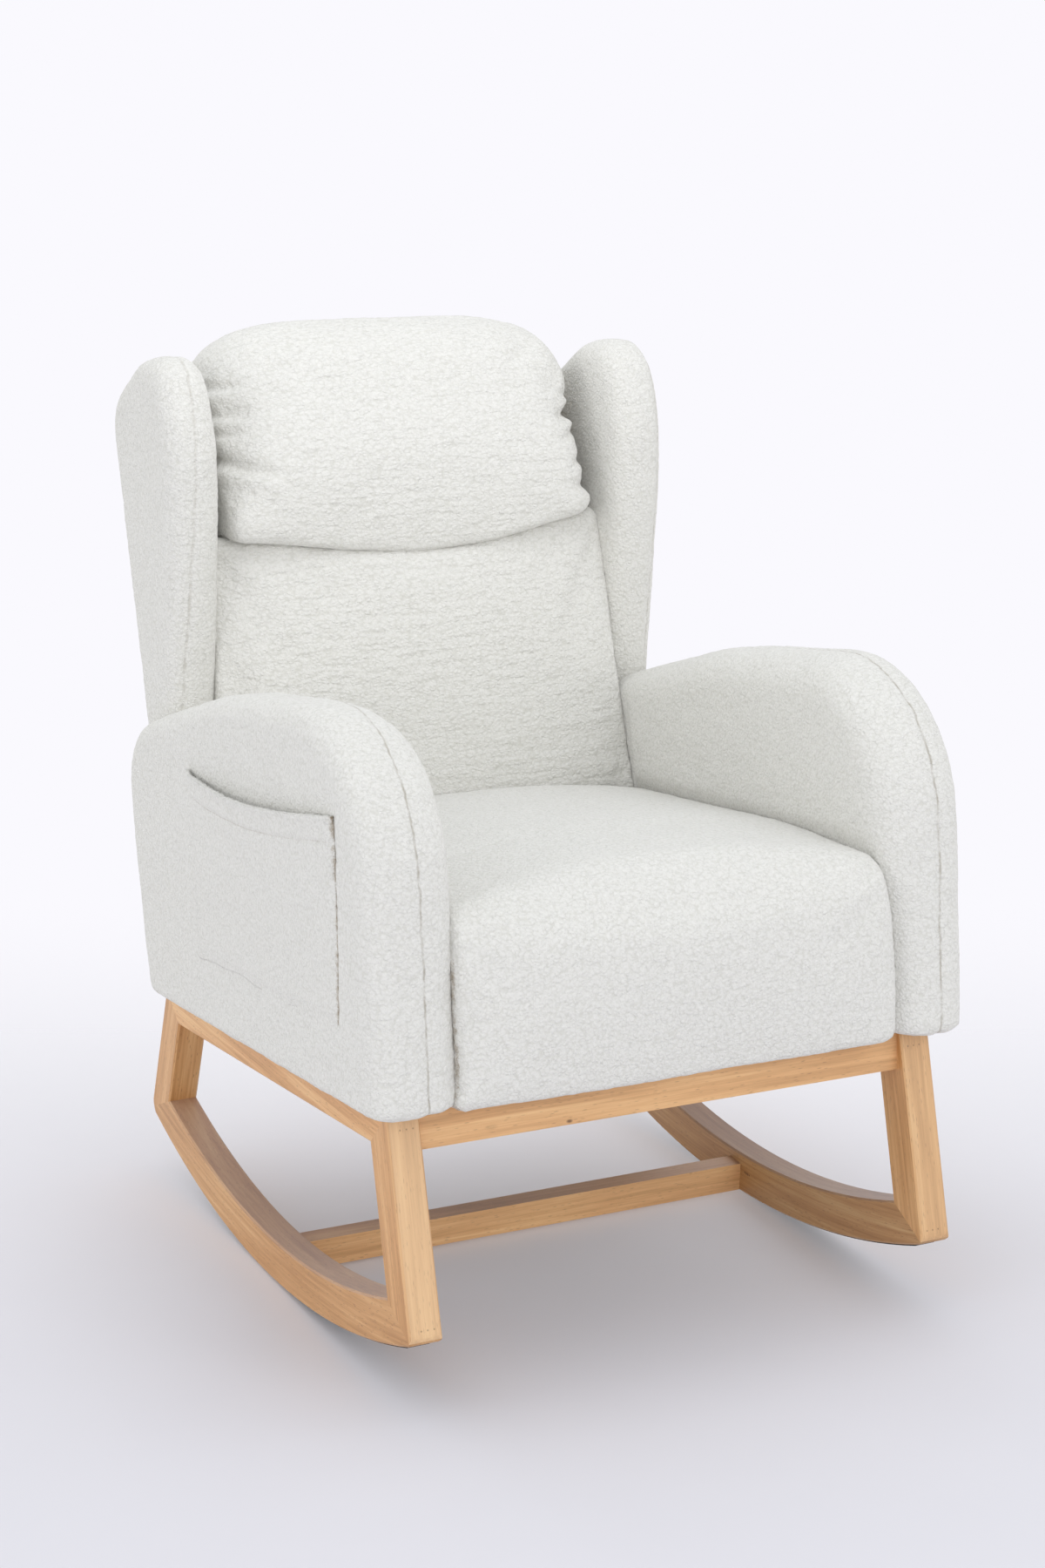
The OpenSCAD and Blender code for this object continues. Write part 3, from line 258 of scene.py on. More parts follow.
# marks are dark spots in the wood: place in the side view, radius, how much longer along X, strength;
# one with x above 0 is on both sides of the chair
def woodMaterial(name, turn=(0, 0, 0), arc=False, tint=1.0, seed=0.0, marks=(), frontHighlight=0.0):
    material, add = newMaterial(name)
    along, share, cover = rubberwood["along"], rubberwood["share"], rubberwood["cover"]
    place = add("TexCoord").outputs["Object"]
    parts = add("SeparateXYZ", {0: place}).outputs
    if arc:  # grain follows the curve of the runner, and the sawn board's rings run a little flatter
        centreZ = (chair["rockRadius"] + chair["stripThickness"]) / 1000
        down = add("Math", {0: centreZ, 1: parts["Z"]}, operation="SUBTRACT").outputs[0]
        angle = add("Math", {0: parts["Y"], 1: down}, operation="ARCTAN2").outputs[0]
        radial = add("CombineXYZ", {"X": parts["Y"], "Y": down}).outputs[0]
        reach = add("VectorMath", {0: radial}, operation="LENGTH").outputs["Value"]
        square = add("Math", {0: angle, 1: angle}, operation="MULTIPLY").outputs[0]
        reach = weighted(add, [(square, -0.22)], reach)
        travel = weighted(add, [(angle, chair["rockRadius"] / 1000)])
        grain = add("CombineXYZ", {"X": travel, "Y": reach, "Z": parts["X"]}).outputs[0]
    else:
        grain = add("Mapping", {"Vector": place, "Rotation": turn}).outputs[0]
    away = (seed, seed * 0.37, seed * 0.71)
    moved = add("VectorMath", {0: grain, 1: away}, operation="ADD").outputs[0]
    long = add("Mapping", {"Vector": moved, "Scale": (along["rings"], 1.0, 1.0)}).outputs[0]
    bend = add("TexNoise", {"Vector": long, "Scale": 1000 / rubberwood["bendSize"],
                            "Detail": 3.0}).outputs["Fac"]
    rings = add("TexNoise", {"Vector": long, "Scale": 1000 / rubberwood["ringSize"], "Detail": 3.0,
                             "Roughness": 0.55, "Distortion": 0.4}).outputs["Fac"]
    drawn = add("Mapping", {"Vector": moved, "Scale": (along["streaks"], 1.0, 1.0)}).outputs[0]
    streaks = add("TexNoise", {"Vector": drawn, "Scale": 1000 / rubberwood["streakSize"],
                               "Detail": 3.0, "Roughness": 0.6, "Distortion": 0.3}).outputs["Fac"]
    thin = add("Mapping", {"Vector": moved, "Scale": (along["fibres"], 1.0, 1.0)}).outputs[0]
    fibres = add("TexNoise", {"Vector": thin, "Scale": 1000 / rubberwood["fibreSize"],
                              "Detail": 3.0, "Roughness": 0.7}).outputs["Fac"]
    blend = weighted(add, [(rings, share["rings"]), (fibres, share["fibres"]), (bend, share["bend"]),
                           (streaks, share["streaks"])])
    colour = add("ValToRGB", {"Fac": blend}, stops=[
        (0.40, rubberwood["dark"]), (0.53, rubberwood["mid"]), (0.66, rubberwood["light"]),
    ]).outputs["Color"]
    poreScale = [1000 / rubberwood[size] for size in ("poreLength", "poreWidth", "poreWidth")]
    pores = add("Mapping", {"Vector": moved, "Scale": poreScale}).outputs[0]
    pores = add("TexVoronoi", {"Vector": pores, "Scale": 1.0}).outputs["Distance"]
    pores = add("MapRange", {"Value": pores, "From Min": 0.10, "From Max": 0.26, "To Min": 1.0,
                             "To Max": 0.0}).outputs[0]
    opened = add("Math", {0: fibres, 1: 0.47}, operation="GREATER_THAN").outputs[0]
    pores = add("Math", {0: pores, 1: opened}, operation="MULTIPLY").outputs[0]
    covers = [(weighted(add, [(pores, cover["pores"])]), rubberwood["pore"])]
    facing = add("TexCoord").outputs["Normal"]
    facing = add("SeparateXYZ", {0: facing}).outputs
    if frontHighlight:  # faces that look to the front are painted paler, as a painted highlight of the lacquer
        forward = add("MapRange", {"Value": facing["Y"], "From Min": -0.5, "From Max": -0.85,
                                   "To Max": frontHighlight}).outputs[0]
        covers.append((forward, rubberwood["frontHighlight"]))
    # painted shade and a painted cool reflection make faces that look up greyer
    upward = add("MapRange", {"Value": facing["Z"], "From Min": 0.3, "From Max": 0.95,
                              "To Max": cover["upShade"]}).outputs[0]
    covers.append((upward, rubberwood["upShade"]))
    if marks:
        across = add("Math", {0: parts["X"]}, operation="ABSOLUTE").outputs[0]
        folded = add("CombineXYZ", {"X": across, "Y": parts["Y"], "Z": parts["Z"]}).outputs[0]
    for x, y, z, radius, longer, strength in marks:
        centre = tuple(toWorld([(x, y, z)])[0])
        source = place if x < 0 else folded
        off = add("VectorMath", {0: source, 1: centre}, operation="SUBTRACT").outputs[0]
        off = add("VectorMath", {0: off, 1: (1 / longer, 1.0, 1.0)}, operation="MULTIPLY")
        reach = add("VectorMath", {0: off.outputs[0]}, operation="LENGTH").outputs["Value"]
        spot = add("MapRange", {"Value": reach, "From Min": 0.4 * radius / 1000,
                                "From Max": radius / 1000, "To Min": strength, "To Max": 0.0})
        covers.append((spot.outputs[0], rubberwood["knot"]))
    colour = covered(add, colour, covers)
    if tint != 1.0:
        colour = add("HueSaturation", {"Color": colour, "Value": tint}).outputs[0]
    height = weighted(add, [(fibres, 0.4), (pores, -0.8)])
    bump = add("Bump", {"Height": height, "Strength": 0.5, "Distance": rubberwood["relief"] / 1000})
    rough = add("MapRange", {"Value": fibres, "To Min": rubberwood["smoothest"],
                             "To Max": rubberwood["roughest"]}).outputs[0]
    shader = add("BsdfPrincipled", {
        "Base Color": colour, "Normal": bump.outputs[0], "Roughness": rough, "IOR": 1.5,
        "Specular IOR Level": 0.4, "Coat Weight": rubberwood["coat"], "Coat Roughness": 0.3,
    })
    add("OutputMaterial", {"Surface": shader.outputs[0]})
    return material


# size is that of the pattern and depth that of its relief, in millimetres
def plainMaterial(name, base, second, size, roughness, depth=0.2, metallic=0.0, stretch=(1, 1, 1)):
    material, add = newMaterial(name)
    place = add("TexCoord").outputs["Object"]
    space = add("Mapping", {"Vector": place, "Scale": stretch}).outputs[0]
    cloud = add("TexNoise", {"Vector": space, "Scale": 1000 / size, "Detail": 4.0,
                             "Roughness": 0.6}).outputs["Fac"]
    colour = add("ValToRGB", {"Fac": cloud}, stops=[(0.35, base), (0.65, second)]).outputs["Color"]
    bump = add("Bump", {"Height": cloud, "Strength": 0.6, "Distance": depth / 1000})
    shader = add("BsdfPrincipled", {
        "Base Color": colour, "Normal": bump.outputs[0], "Roughness": roughness, "Metallic": metallic,
    })
    add("OutputMaterial", {"Surface": shader.outputs[0]})
    return material


def paint(nodeName, material):
    obj = nodes[nodeName]
    obj.data.materials.clear()
    obj.data.materials.append(material)


# filled nail holes near both ends of the front legs
nailRows = [(-314.5, 58.5), (-283.3, 257.8)]
nails = [(x, y, z, 1.3, 1.0, 0.5) for x in (292.3, 299.4, 306.4) for y, z in nailRows]
# two small knots in the front rail
knots = [(-113.9, -273.7, 235.2, 2.4, 1.8, 0.8), (-202.4, -273.7, 242.6, 3.5, 2.6, 0.15)]
# a dark slit in the left runner, as a short row of spots
slitRadii = (1.8, 2.2, 2.2, 1.6)
slit = [(284.0, 67.0 - 3.5 * i, 28.9 - 0.4 * i, radius, 1.0, 0.8) for i, radius in enumerate(slitRadii)]
quarter = math.pi / 2
frontTurn = (math.radians(chair["frontLegLean"] + chair["restTilt"]), quarter, 0)
rearTurn = (math.radians(chair["rearLegLean"] + chair["restTilt"]), quarter, 0)
alongX = woodMaterial("rubberwood along the rails", tint=1.08, seed=1.0, marks=knots, frontHighlight=0.15)
alongY = woodMaterial("rubberwood along the side rails", (0, 0, -quarter), tint=1.05, seed=2.0)
rightRunner = woodMaterial("rubberwood along the right runner", arc=True, tint=0.94, seed=3.0)
# the far runner is darkened as painted shade, for the shadow under the chair
shadedLeftRunner = woodMaterial("rubberwood along the left runner in painted shade", arc=True, tint=0.73, seed=6.0,
                          marks=slit)
rightLeg = woodMaterial("rubberwood along the right front leg", frontTurn, seed=4.0, marks=nails, frontHighlight=0.38)
# the far front leg is a little darker and less highlighted, as painted shade
shadedLeftLeg = woodMaterial("rubberwood along the left front leg in painted shade", frontTurn, tint=0.97, seed=7.0,
                       marks=nails, frontHighlight=0.25)
rearLegs = woodMaterial("rubberwood along the rear legs", rearTurn, tint=0.97, seed=5.0)
showWood = {
    "runner_right": rightRunner, "runner_left": shadedLeftRunner, "front_leg_right": rightLeg,
    "front_leg_left": shadedLeftLeg, "rear_leg_right": rearLegs, "rear_leg_left": rearLegs,
    "side_rail_right": alongY, "side_rail_left": alongY, "front_rail": alongX, "rear_rail": alongX,
    "stretcher": alongX,
}

# Planed pine is pale yellow with faint rings, and birch plywood pale brown with a level grain.
pine = plainMaterial("planed pine", "#DCC298", "#C9A776", 25.0, 0.7, stretch=(0.15, 1, 1))
plywood = plainMaterial("birch plywood", "#D3B687", "#C2A06E", 16.67, 0.75, stretch=(1, 0.2, 0.2))
# Zinc plated steel is grey and a little cloudy.
zinc = plainMaterial("zinc plated steel", "#B9BCC0", "#9DA1A6", 5.0, 0.35, 0.05, metallic=1.0)
# Moulded rubber is nearly black and dull.
rubber = plainMaterial("moulded rubber strip", "#262627", "#303031", 3.333, 0.8)
# Woven webbing and spunbond lining are dark grey and rough.
webbing = plainMaterial("woven elastic webbing", "#2C2C2E", "#3C3C3F", 2.0, 0.85, 0.4)
lining = plainMaterial("spunbond lining", "#3E3E40", "#4B4B4E", 1.429, 0.9, 0.3)
# Cut polyurethane foam is pale yellow with open pores.
foam = plainMaterial("cut polyurethane foam", "#F0E4B8", "#E2D29C", 1.667, 0.95, 0.6)
fittings = [  # the first word that a node's name holds decides
    ("grip_strip", rubber), ("panel", plywood), ("bolts", zinc), ("washers", zinc), ("webbing", webbing),
    ("dust_cover", lining), ("seat_foam", foam), ("rail", pine), ("stile", pine), ("block", pine),
    ("dowel", pine),
]
for name in nodes:
    found = [material for word, material in fittings if word in name]
    if name in showWood:
        paint(name, showWood[name])
    elif found:
        paint(name, found[0])
print("wood and fittings painted")


# Padded pieces: outlines in the side view, lofted across the chair, remeshed and sculpted.

def cornerArc(a, b, c, radius, steps):
    a, b, c = Vector(a), Vector(b), Vector(c)
    u, v = (a - b).normalized(), (c - b).normalized()
    half = math.acos(max(-1.0, min(1.0, u.dot(v)))) / 2
    reach = min(radius / math.tan(half), 0.48 * min((a - b).length, (c - b).length))
    trueRadius = reach * math.tan(half)
    centre = b + (u + v).normalized() * trueRadius / math.sin(half)
    s, e = b + u * reach - centre, b + v * reach - centre
    start = math.atan2(s.y, s.x)
    turn = (math.atan2(e.y, e.x) - start + 3 * math.pi) % (2 * math.pi) - math.pi
    angles = [start + turn * i / steps for i in range(steps + 1)]
    return [(centre.x + trueRadius * math.cos(t), centre.y + trueRadius * math.sin(t)) for t in angles]


def rounded(corners, steps=8):  # each corner is y, z and its radius
    count = len(corners)
    points = []
    for i, corner in enumerate(corners):
        points += cornerArc(corners[i - 1][:2], corner[:2], corners[(i + 1) % count][:2], corner[2], steps)
    return points


def inset(corners, distance, foot=None):
    result = []
    count = len(corners)
    for i, corner in enumerate(corners):
        b = Vector(corner[:2])
        u = (Vector(corners[i - 1][:2]) - b).normalized()
        v = (Vector(corners[(i + 1) % count][:2]) - b).normalized()
        half = math.acos(max(-1.0, min(1.0, u.dot(v)))) / 2
        p = b + (u + v).normalized() * distance / math.sin(half)
        result.append([p.x, p.y, max(corner[2] - distance, 1.0)])
    if foot is not None:  # the foot stays flat
        for i in (0, 1):
            result[i][1] = corners[i][1] + distance * foot
    return result


def loft(name, rings):
    bm = bmesh.new()
    loops = []
    for ring in rings:
        verts = [bm.verts.new(p) for p in toWorld(ring)]
        loops.append([bm.edges.new((verts[i - 1], verts[i])) for i in range(len(verts))])
    for a, b in zip(loops, loops[1:]):
        bmesh.ops.bridge_loops(bm, edges=a + b)
    for loop in (loops[0], loops[-1]):
        bmesh.ops.edgeloop_fill(bm, edges=loop)
    bmesh.ops.recalc_face_normals(bm, faces=bm.faces)
    return makeObject(name, bm)


def makeObject(name, bm):
    mesh = bpy.data.meshes.new(name)
    bm.to_mesh(mesh)
    bm.free()
    obj = bpy.data.objects.new(name, mesh)
    bpy.context.scene.collection.objects.link(obj)
    return obj


def bake(obj):  # the evaluated mesh takes the place of the mesh and its modifiers
    graph = bpy.context.evaluated_depsgraph_get()
    mesh = bpy.data.meshes.new_from_object(obj.evaluated_get(graph))
    old = obj.data
    obj.modifiers.clear()
    obj.data = mesh
    bpy.data.meshes.remove(old)
    mesh.name = obj.name


def remesh(obj, size):
    modifier = obj.modifiers.new("voxels", "REMESH")
    modifier.mode = "VOXEL"
    modifier.voxel_size = size / 1000.0
    bake(obj)


def readPoints(obj):
    flat = np.empty(len(obj.data.vertices) * 3)
    obj.data.vertices.foreach_get("co", flat)
    return flat.reshape(-1, 3)


def writePoints(obj, points):
    obj.data.vertices.foreach_set("co", points.ravel())
    obj.data.update()


def readNormals(obj):
    flat = np.empty(len(obj.data.vertices) * 3)
    obj.data.vertex_normals.foreach_get("vector", flat)
    return flat.reshape(-1, 3)


def relax(obj, rounds):
    points = readPoints(obj)
    edges = np.empty(len(obj.data.edges) * 2, dtype=np.int64)
    obj.data.edges.foreach_get("vertices", edges)
    edges = edges.reshape(-1, 2)
    count = np.bincount(edges.ravel(), minlength=len(points))[:, None]
    for _ in range(rounds):
        total = np.zeros_like(points)
        np.add.at(total, edges[:, 0], points[edges[:, 1]])
        np.add.at(total, edges[:, 1], points[edges[:, 0]])
        points = points + 0.5 * (total / count - points)
    writePoints(obj, points)


def lumps(points, size, seed):  # smooth noise between -1 and 1 over a real size in millimetres
    scale = 1000.0 / size
    shift = Vector((seed * 3.1, seed * 7.7, seed * 1.3))
    return np.array([noise.noise(Vector(p) * scale + shift) for p in points])


def waves(points, layers, shift=0):  # each layer is its size, its seed and its height
    return sum(lumps(points, size, seed + shift) * height for size, seed, height in layers)


def refine(obj):
    modifier = obj.modifiers.new("finer", "SUBSURF")
    modifier.levels = 1
    modifier.render_levels = 1
    bake(obj)


def pushOut(obj, amounts):  # along the normals, in millimetres
    writePoints(obj, readPoints(obj) + readNormals(obj) * amounts[:, None] / 1000.0)


def setPaintedShade(obj, amounts):
    attribute = obj.data.attributes.new("paintedShade", "FLOAT", "POINT")
    attribute.data.foreach_set("value", np.clip(amounts, 0, 1))


def finishPad(obj, material, nodeNames):
    obj.data.materials.clear()
    obj.data.materials.append(material)
    obj.data.shade_smooth()
    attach(obj, "root")
    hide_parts(*nodeNames)
    print(obj.name, len(obj.data.polygons), "faces")


def smooth(values, start, stop):
    t = np.clip((np.asarray(values, float) - start) / (stop - start), 0, 1)
    return t * t * (3 - 2 * t)


def bell(values, middle, width):
    return np.exp(-((values - middle) / width) ** 2)


def groove(distance, width, depth):  # a sewn line drawn in, with the pile standing up beside it
    return -depth * bell(distance, 0, width) + 0.35 * depth * bell(np.abs(distance), 2.2 * width, width)


def fold(local, path, width, depth):  # a fold across the face, deepest where its path starts
    across, up = local[:, 0], local[:, 2]
    reach = sum(math.dist(a, b) for a, b in zip(path, path[1:]))
    nearest = np.full(len(local), 1e9)
    share = np.zeros(len(local))
    signed = np.zeros(len(local))
    walked = 0.0
    for a, b in zip(path, path[1:]):
        dx, dz = b[0] - a[0], b[1] - a[1]
        span = math.hypot(dx, dz)
        t = np.clip(((across - a[0]) * dx + (up - a[1]) * dz) / span ** 2, 0, 1)
        offX, offZ = across - a[0] - t * dx, up - a[1] - t * dz
        distance = np.hypot(offX, offZ)
        closer = distance < nearest
        nearest = np.where(closer, distance, nearest)
        share = np.where(closer, (walked + t * span) / reach, share)
        signed = np.where(closer, np.where(offZ < 0, -distance, distance), signed)
        walked += span
    fading = 1 - smooth(share, 0.35, 1.0)
    profile = 0.45 * bell(signed, -1.7 * width, width) - bell(signed, 0, width)
    return depth * fading * profile * (nearest < 5 * width)


# Cloth pressure fills a cover out and leaves it a little slack; sewn parts stay where they are.
# cap is how far a point may move and mesh the size of the faces, in millimetres.
puff = {
    "pressure": 4.0,
    "frames": 14,
    "slack": 0.002,
    "stiffness": 20,
    "bending": 1.5,
    "cap": 7.0,
    "mesh": 7.0,
}


def puffOut(obj, sewn):
    before = readPoints(obj)
    group = obj.vertex_groups.new(name="sewn")
    group.add(np.nonzero(sewn(toChair(before)))[0].tolist(), 1.0, "REPLACE")
    cloth = obj.modifiers.new("cloth", "CLOTH")
    cloth.settings.quality = 4
    cloth.settings.mass = 0.4
    cloth.settings.tension_stiffness = puff["stiffness"]
    cloth.settings.compression_stiffness = puff["stiffness"]
    cloth.settings.shear_stiffness = 0.4 * puff["stiffness"]
    cloth.settings.bending_stiffness = puff["bending"]
    cloth.settings.use_pressure = True
    cloth.settings.uniform_pressure_force = puff["pressure"]
    cloth.settings.shrink_min = -puff["slack"]
    cloth.settings.vertex_group_mass = group.name
    cloth.settings.effector_weights.gravity = 0.0
    cloth.collision_settings.use_collision = False
    cloth.point_cache.frame_end = puff["frames"]
    for frameNumber in range(1, puff["frames"] + 1):
        bpy.context.scene.frame_set(frameNumber)
    bake(obj)
    bpy.context.scene.frame_set(1)
    obj.vertex_groups.clear()
    moved = readPoints(obj) - before
    length = np.linalg.norm(moved, axis=1, keepdims=True)
    limit = puff["cap"] / 1000.0
    share = np.minimum(1.0, limit * np.tanh(length / limit) / np.maximum(length, 1e-9))
    writePoints(obj, before + moved * share)
    print(obj.name, "filled out by up to", round(float(length.max()) * 1000, 1), "mm")


def ruffle(obj, seed, size=6.5, depth=0.5):  # the curls that stand out at the edges of a cover
    points = readPoints(obj)
    pushOut(obj, waves(points, [(size, seed, depth), (size * 4, seed + 1, depth)]))


# Arms: two side panels and a band over the rim, sewn together beside the middle of the band. Their
# fronts bulge over the seat, fully before overStart and not at all behind overEnd.
arm = {
    "corners": [
        [-320.65, 274, 10], [389.35, 274, 14], [rearY(589), 589, 95], [77, 664.6, 900], [-320.65, 684, 170],
    ],
    "mesh": 5.7,
    "innerEdge": 44.0,
    "outerEdge": 26.0,
    "swell": 9.0,
    "seamNear": -288.5,
    "seamFar": 312.0,
    "seamWidth": 4.2,
    "seamDepth": 1.1,
    "seamWaves": [(45, 9, 1.5)],
    "rim": (262, 272, 340, 346),
    "waves": [(90, 3, 1.2), (35, 5, 0.5)],
    "overSeatNear": 12.0,
    "overSeatFar": 5.0,
    "overStart": -250.0,
    "overEnd": -130.0,
}


def padRings(corners, x0, x1, innerEdge, outerEdge, swell, side, foot=0.3, steps=8):
    face = np.array(rounded(inset(corners, innerEdge, foot), steps))
    outerFace = np.array(rounded(inset(corners, outerEdge, foot), steps))
    centre = face.mean(0)
    rings = []
    for s in (0.35, 0.75):
        rings.append([(side * (x0 - swell * (1 - s ** 4)), *(centre + s * (p - centre))) for p in face])
    for angle in range(0, 91, 15):
        a = math.radians(angle)
        outline = rounded(inset(corners, innerEdge * (1 - math.sin(a)) + 0.001, foot), steps)
        x = x0 + innerEdge * (1 - math.cos(a)) - swell * 0.4 * math.cos(a)
        rings.append([(side * x, *p) for p in outline])
    for angle in range(90, -1, -15):
        a = math.radians(angle)
        outline = rounded(inset(corners, outerEdge * (1 - math.sin(a)) + 0.001, foot), steps)
        x = x1 - outerEdge * (1 - math.cos(a))
        rings.append([(side * x, *p) for p in outline])
    for s in (0.75, 0.35):
        rings.append([(side * x1, *(centre + s * (p - centre))) for p in outerFace])
    return rings


def onRim(local, rim):  # 1 on the band over the rim and 0 on both sides of it
    away = np.abs(local[:, 0])
    return smooth(away, rim[0], rim[1]) * smooth(away, rim[3], rim[2])


def makeArm(side, seam):
    sideName = "left" if side > 0 else "right"
    rings = padRings(arm["corners"], chair["seatHalf"], chair["seatHalf"] + chair["armThickness"],
                     arm["innerEdge"], arm["outerEdge"], arm["swell"], side)
    obj = loft("armCover" + sideName.capitalize(), rings)
    remesh(obj, arm["mesh"])
    relax(obj, 3)
    refine(obj)
    points = readPoints(obj)
    local = toChair(points)
    sewn = local[:, 0] - seam + waves(points, arm["seamWaves"])
    line = groove(sewn, arm["seamWidth"], arm["seamDepth"]) * onRim(local, arm["rim"])
    pushOut(obj, waves(points, arm["waves"], side) + line)
    # the swell gives way where the seat and the back press on it
    local = toChair(readPoints(obj))
    bySeat = smooth(local[:, 2], seatEdgeZ + 24, seatEdgeZ - 6)
    bySeat *= smooth(local[:, 1], chair["bodyFront"] + 10, chair["bodyFront"] + 40)
    byBack = smooth(local[:, 1], faceY(local[:, 2]) - 22, faceY(local[:, 2]) - 4)
    beyond = np.maximum(chair["seatHalf"] + 0.5 - np.abs(local[:, 0]), 0)
    local[:, 0] += side * beyond * np.maximum(bySeat, byBack)
    writePoints(obj, toWorld(local))
    local = toChair(readPoints(obj))
    over = arm["overSeatNear"] if side < 0 else arm["overSeatFar"] * smooth(local[:, 2], 330, 450)
    bulge = smooth(np.abs(local[:, 0]), 302, 264) * smooth(local[:, 1], arm["overEnd"], arm["overStart"])
    local[:, 0] -= side * over * bulge
    writePoints(obj, toWorld(local))
    relax(obj, 1)
    ruffle(obj, 50 + side)
    cover = fleeceMaterial("sherpa fleece of the " + sideName + " arm", seam)
    finishPad(obj, cover, ["arm_pad_" + sideName])


makeArm(1, arm["seamFar"])
makeArm(-1, arm["seamNear"])

# Wings: made as the arms are. Their seams lean a little over the height.
wing = {
    "mesh": 5.0,
    "foot": 597.0,
    "top": 1024.0,
    "depth": 218.0,
    "widest": 888.0,
    "edge": 27.0,
    "swell": 8.0,
    "seamNear": -329.0,
    "leanNear": 0.046,
    "seamFar": 300.0,
    "leanFar": 0.014,
    "seamWidth": 4.2,
    "seamDepth": 1.1,
    "seamWaves": [(45, 19, 1.2)],
    "rim": (262, 270, 314, 319),
    "waves": [(80, 13, 1.0), (30, 15, 0.4)],
}
wing["rear"] = rearY(wing["top"] - 70)
wing["front"] = wing["rear"] - wing["depth"]
wing["corners"] = [
    [wing["front"] + 62, wing["foot"] - 30, 4], [rearY(wing["foot"]) - 14, wing["foot"] - 30, 10],
    [rearY(wing["top"] - 50) + 2, wing["top"] - 50, 64], [wing["rear"] - 106, wing["top"] + 2, 95],
    [wing["front"] + 26, wing["top"] + 2, 82], [wing["front"] - 8, wing["widest"] + 44, 170],
    [wing["front"] + 4, wing["widest"] - 60, 400],
]


def makeWing(side, seam, lean):
    sideName = "left" if side > 0 else "right"
    rings = padRings(wing["corners"], chair["seatHalf"] + 0.3, chair["seatHalf"] + chair["wingThickness"],
                     wing["edge"], wing["edge"], wing["swell"], side)
    obj = loft("wingCover" + sideName.capitalize(), rings)
    remesh(obj, wing["mesh"])
    relax(obj, 3)
    refine(obj)
    points = readPoints(obj)
    local = toChair(points)
    sewn = local[:, 0] - seam - lean * points[:, 2] * 1000 + waves(points, wing["seamWaves"])
    line = groove(sewn, wing["seamWidth"], wing["seamDepth"]) * onRim(local, wing["rim"])
    pushOut(obj, waves(points, wing["waves"], side) + line)
    ruffle(obj, 60 + side)
    cover = fleeceMaterial("sherpa fleece of the " + sideName + " wing", seam, lean, 2.6, 0.5)
    finishPad(obj, cover, ["wing_pad_" + sideName])


makeWing(1, wing["seamFar"], wing["leanFar"])
makeWing(-1, wing["seamNear"], wing["leanNear"])

rowedFleece = fleeceMaterial("sherpa fleece of the back and head roll", inRows=True)
plainFleece = fleeceMaterial("sherpa fleece of the seat and pockets")


def stations(half, edge, count=9):
    side = [half - edge + edge * math.sin(math.radians(a)) for a in (90, 72, 54, 36, 18, 0)]
    return [-x for x in side] + [(half - edge) * i / count for i in range(1 - count, count)] + side[::-1]


def fullness(x, half, power):
    return 1 - min(1.0, abs(x) / half) ** power


def edgeDrop(x, half, radius):
    k = max(0.0, abs(x) - half + radius)
    return radius - math.sqrt(max(0.0, radius * radius - k * k))


def makeCushion(name, section, half, edge):
    obj = loft(name, [[(x, *p) for p in rounded(section(x))] for x in stations(half, edge)])
    remesh(obj, puff["mesh"])
    relax(obj, 2)
    return obj


# Neighbouring covers press into each other a little, so the gaps between them stay shallow
coverHalf = chair["seatHalf"] + 2.0
press = 2.5

# Seat: crowned, with a rolled front
seat = {
    "half": chair["seatHalf"] + 8,
    "edge": 15.0,
    "crown": 18.0,
    "crownAt": 0.42,
    "swell": 13.0,
    "swellAt": 0.6,
    "waves": [(110, 21, 1.5), (40, 22, 0.6)],
    "curls": [(7.0, 23, 1.5)],
}


def seatSection(x):
    e = fullness(x, chair["seatHalf"], 2.2)
    front, foot = chair["bodyFront"], chair["baseHeight"]
    z = seatEdgeZ + seat["crown"] * e
    swellZ = foot + chair["seatThickness"] * seat["swellAt"]
    return inset([
        [front, foot, 8], [faceY(foot) - 0.3, foot, 5], [faceY(z) - 0.3, z, 12],
        [front + chair["seatDepth"] * seat["crownAt"], z + 8, 900], [front + 4, z - 2, 62],
        [front - seat["swell"] * (0.35 + 0.65 * e), swellZ, 300],
    ], edgeDrop(x, seat["half"], seat["edge"]) + 0.001)


def seatSewn(p):
    return (p[:, 2] < 280) | (np.abs(p[:, 0]) > coverHalf - 6) | (p[:, 1] > faceY(p[:, 2]) - 14)


seatCover = makeCushion("seatCover", seatSection, seat["half"], seat["edge"])
puffOut(seatCover, seatSewn)
refine(seatCover)
# the arms push in the seat's front corners
local = toChair(readPoints(seatCover))
forward = smooth(local[:, 1], arm["overEnd"], arm["overStart"])
local[:, 0] += arm["overSeatNear"] * smooth(-local[:, 0], 170, 258) * forward * smooth(local[:, 2], 268, 300)
farPush = arm["overSeatFar"] * smooth(local[:, 2], 330, 450) + 5
local[:, 0] -= farPush * smooth(local[:, 0], 170, 258) * forward
writePoints(seatCover, toWorld(local))
points = readPoints(seatCover)
local = toChair(points)
besideArm = smooth(-local[:, 0], 236, 246) * forward
pushOut(seatCover, waves(points, seat["waves"]) + waves(points, seat["curls"]) * besideArm)
ruffle(seatCover, 70)
# deep in the gap beside the near arm lies brown painted shade
deep = smooth(-local[:, 0], 244.5, 247.5) * forward * smooth(local[:, 2], 450, 415)
deep *= smooth(local[:, 1], chair["bodyFront"] + 5, chair["bodyFront"] + 11)
setPaintedShade(seatCover, (0.5 + 0.3 * lumps(points, 7.0, 24)) * deep)
finishPad(seatCover, plainFleece, ["seat_cushion"])

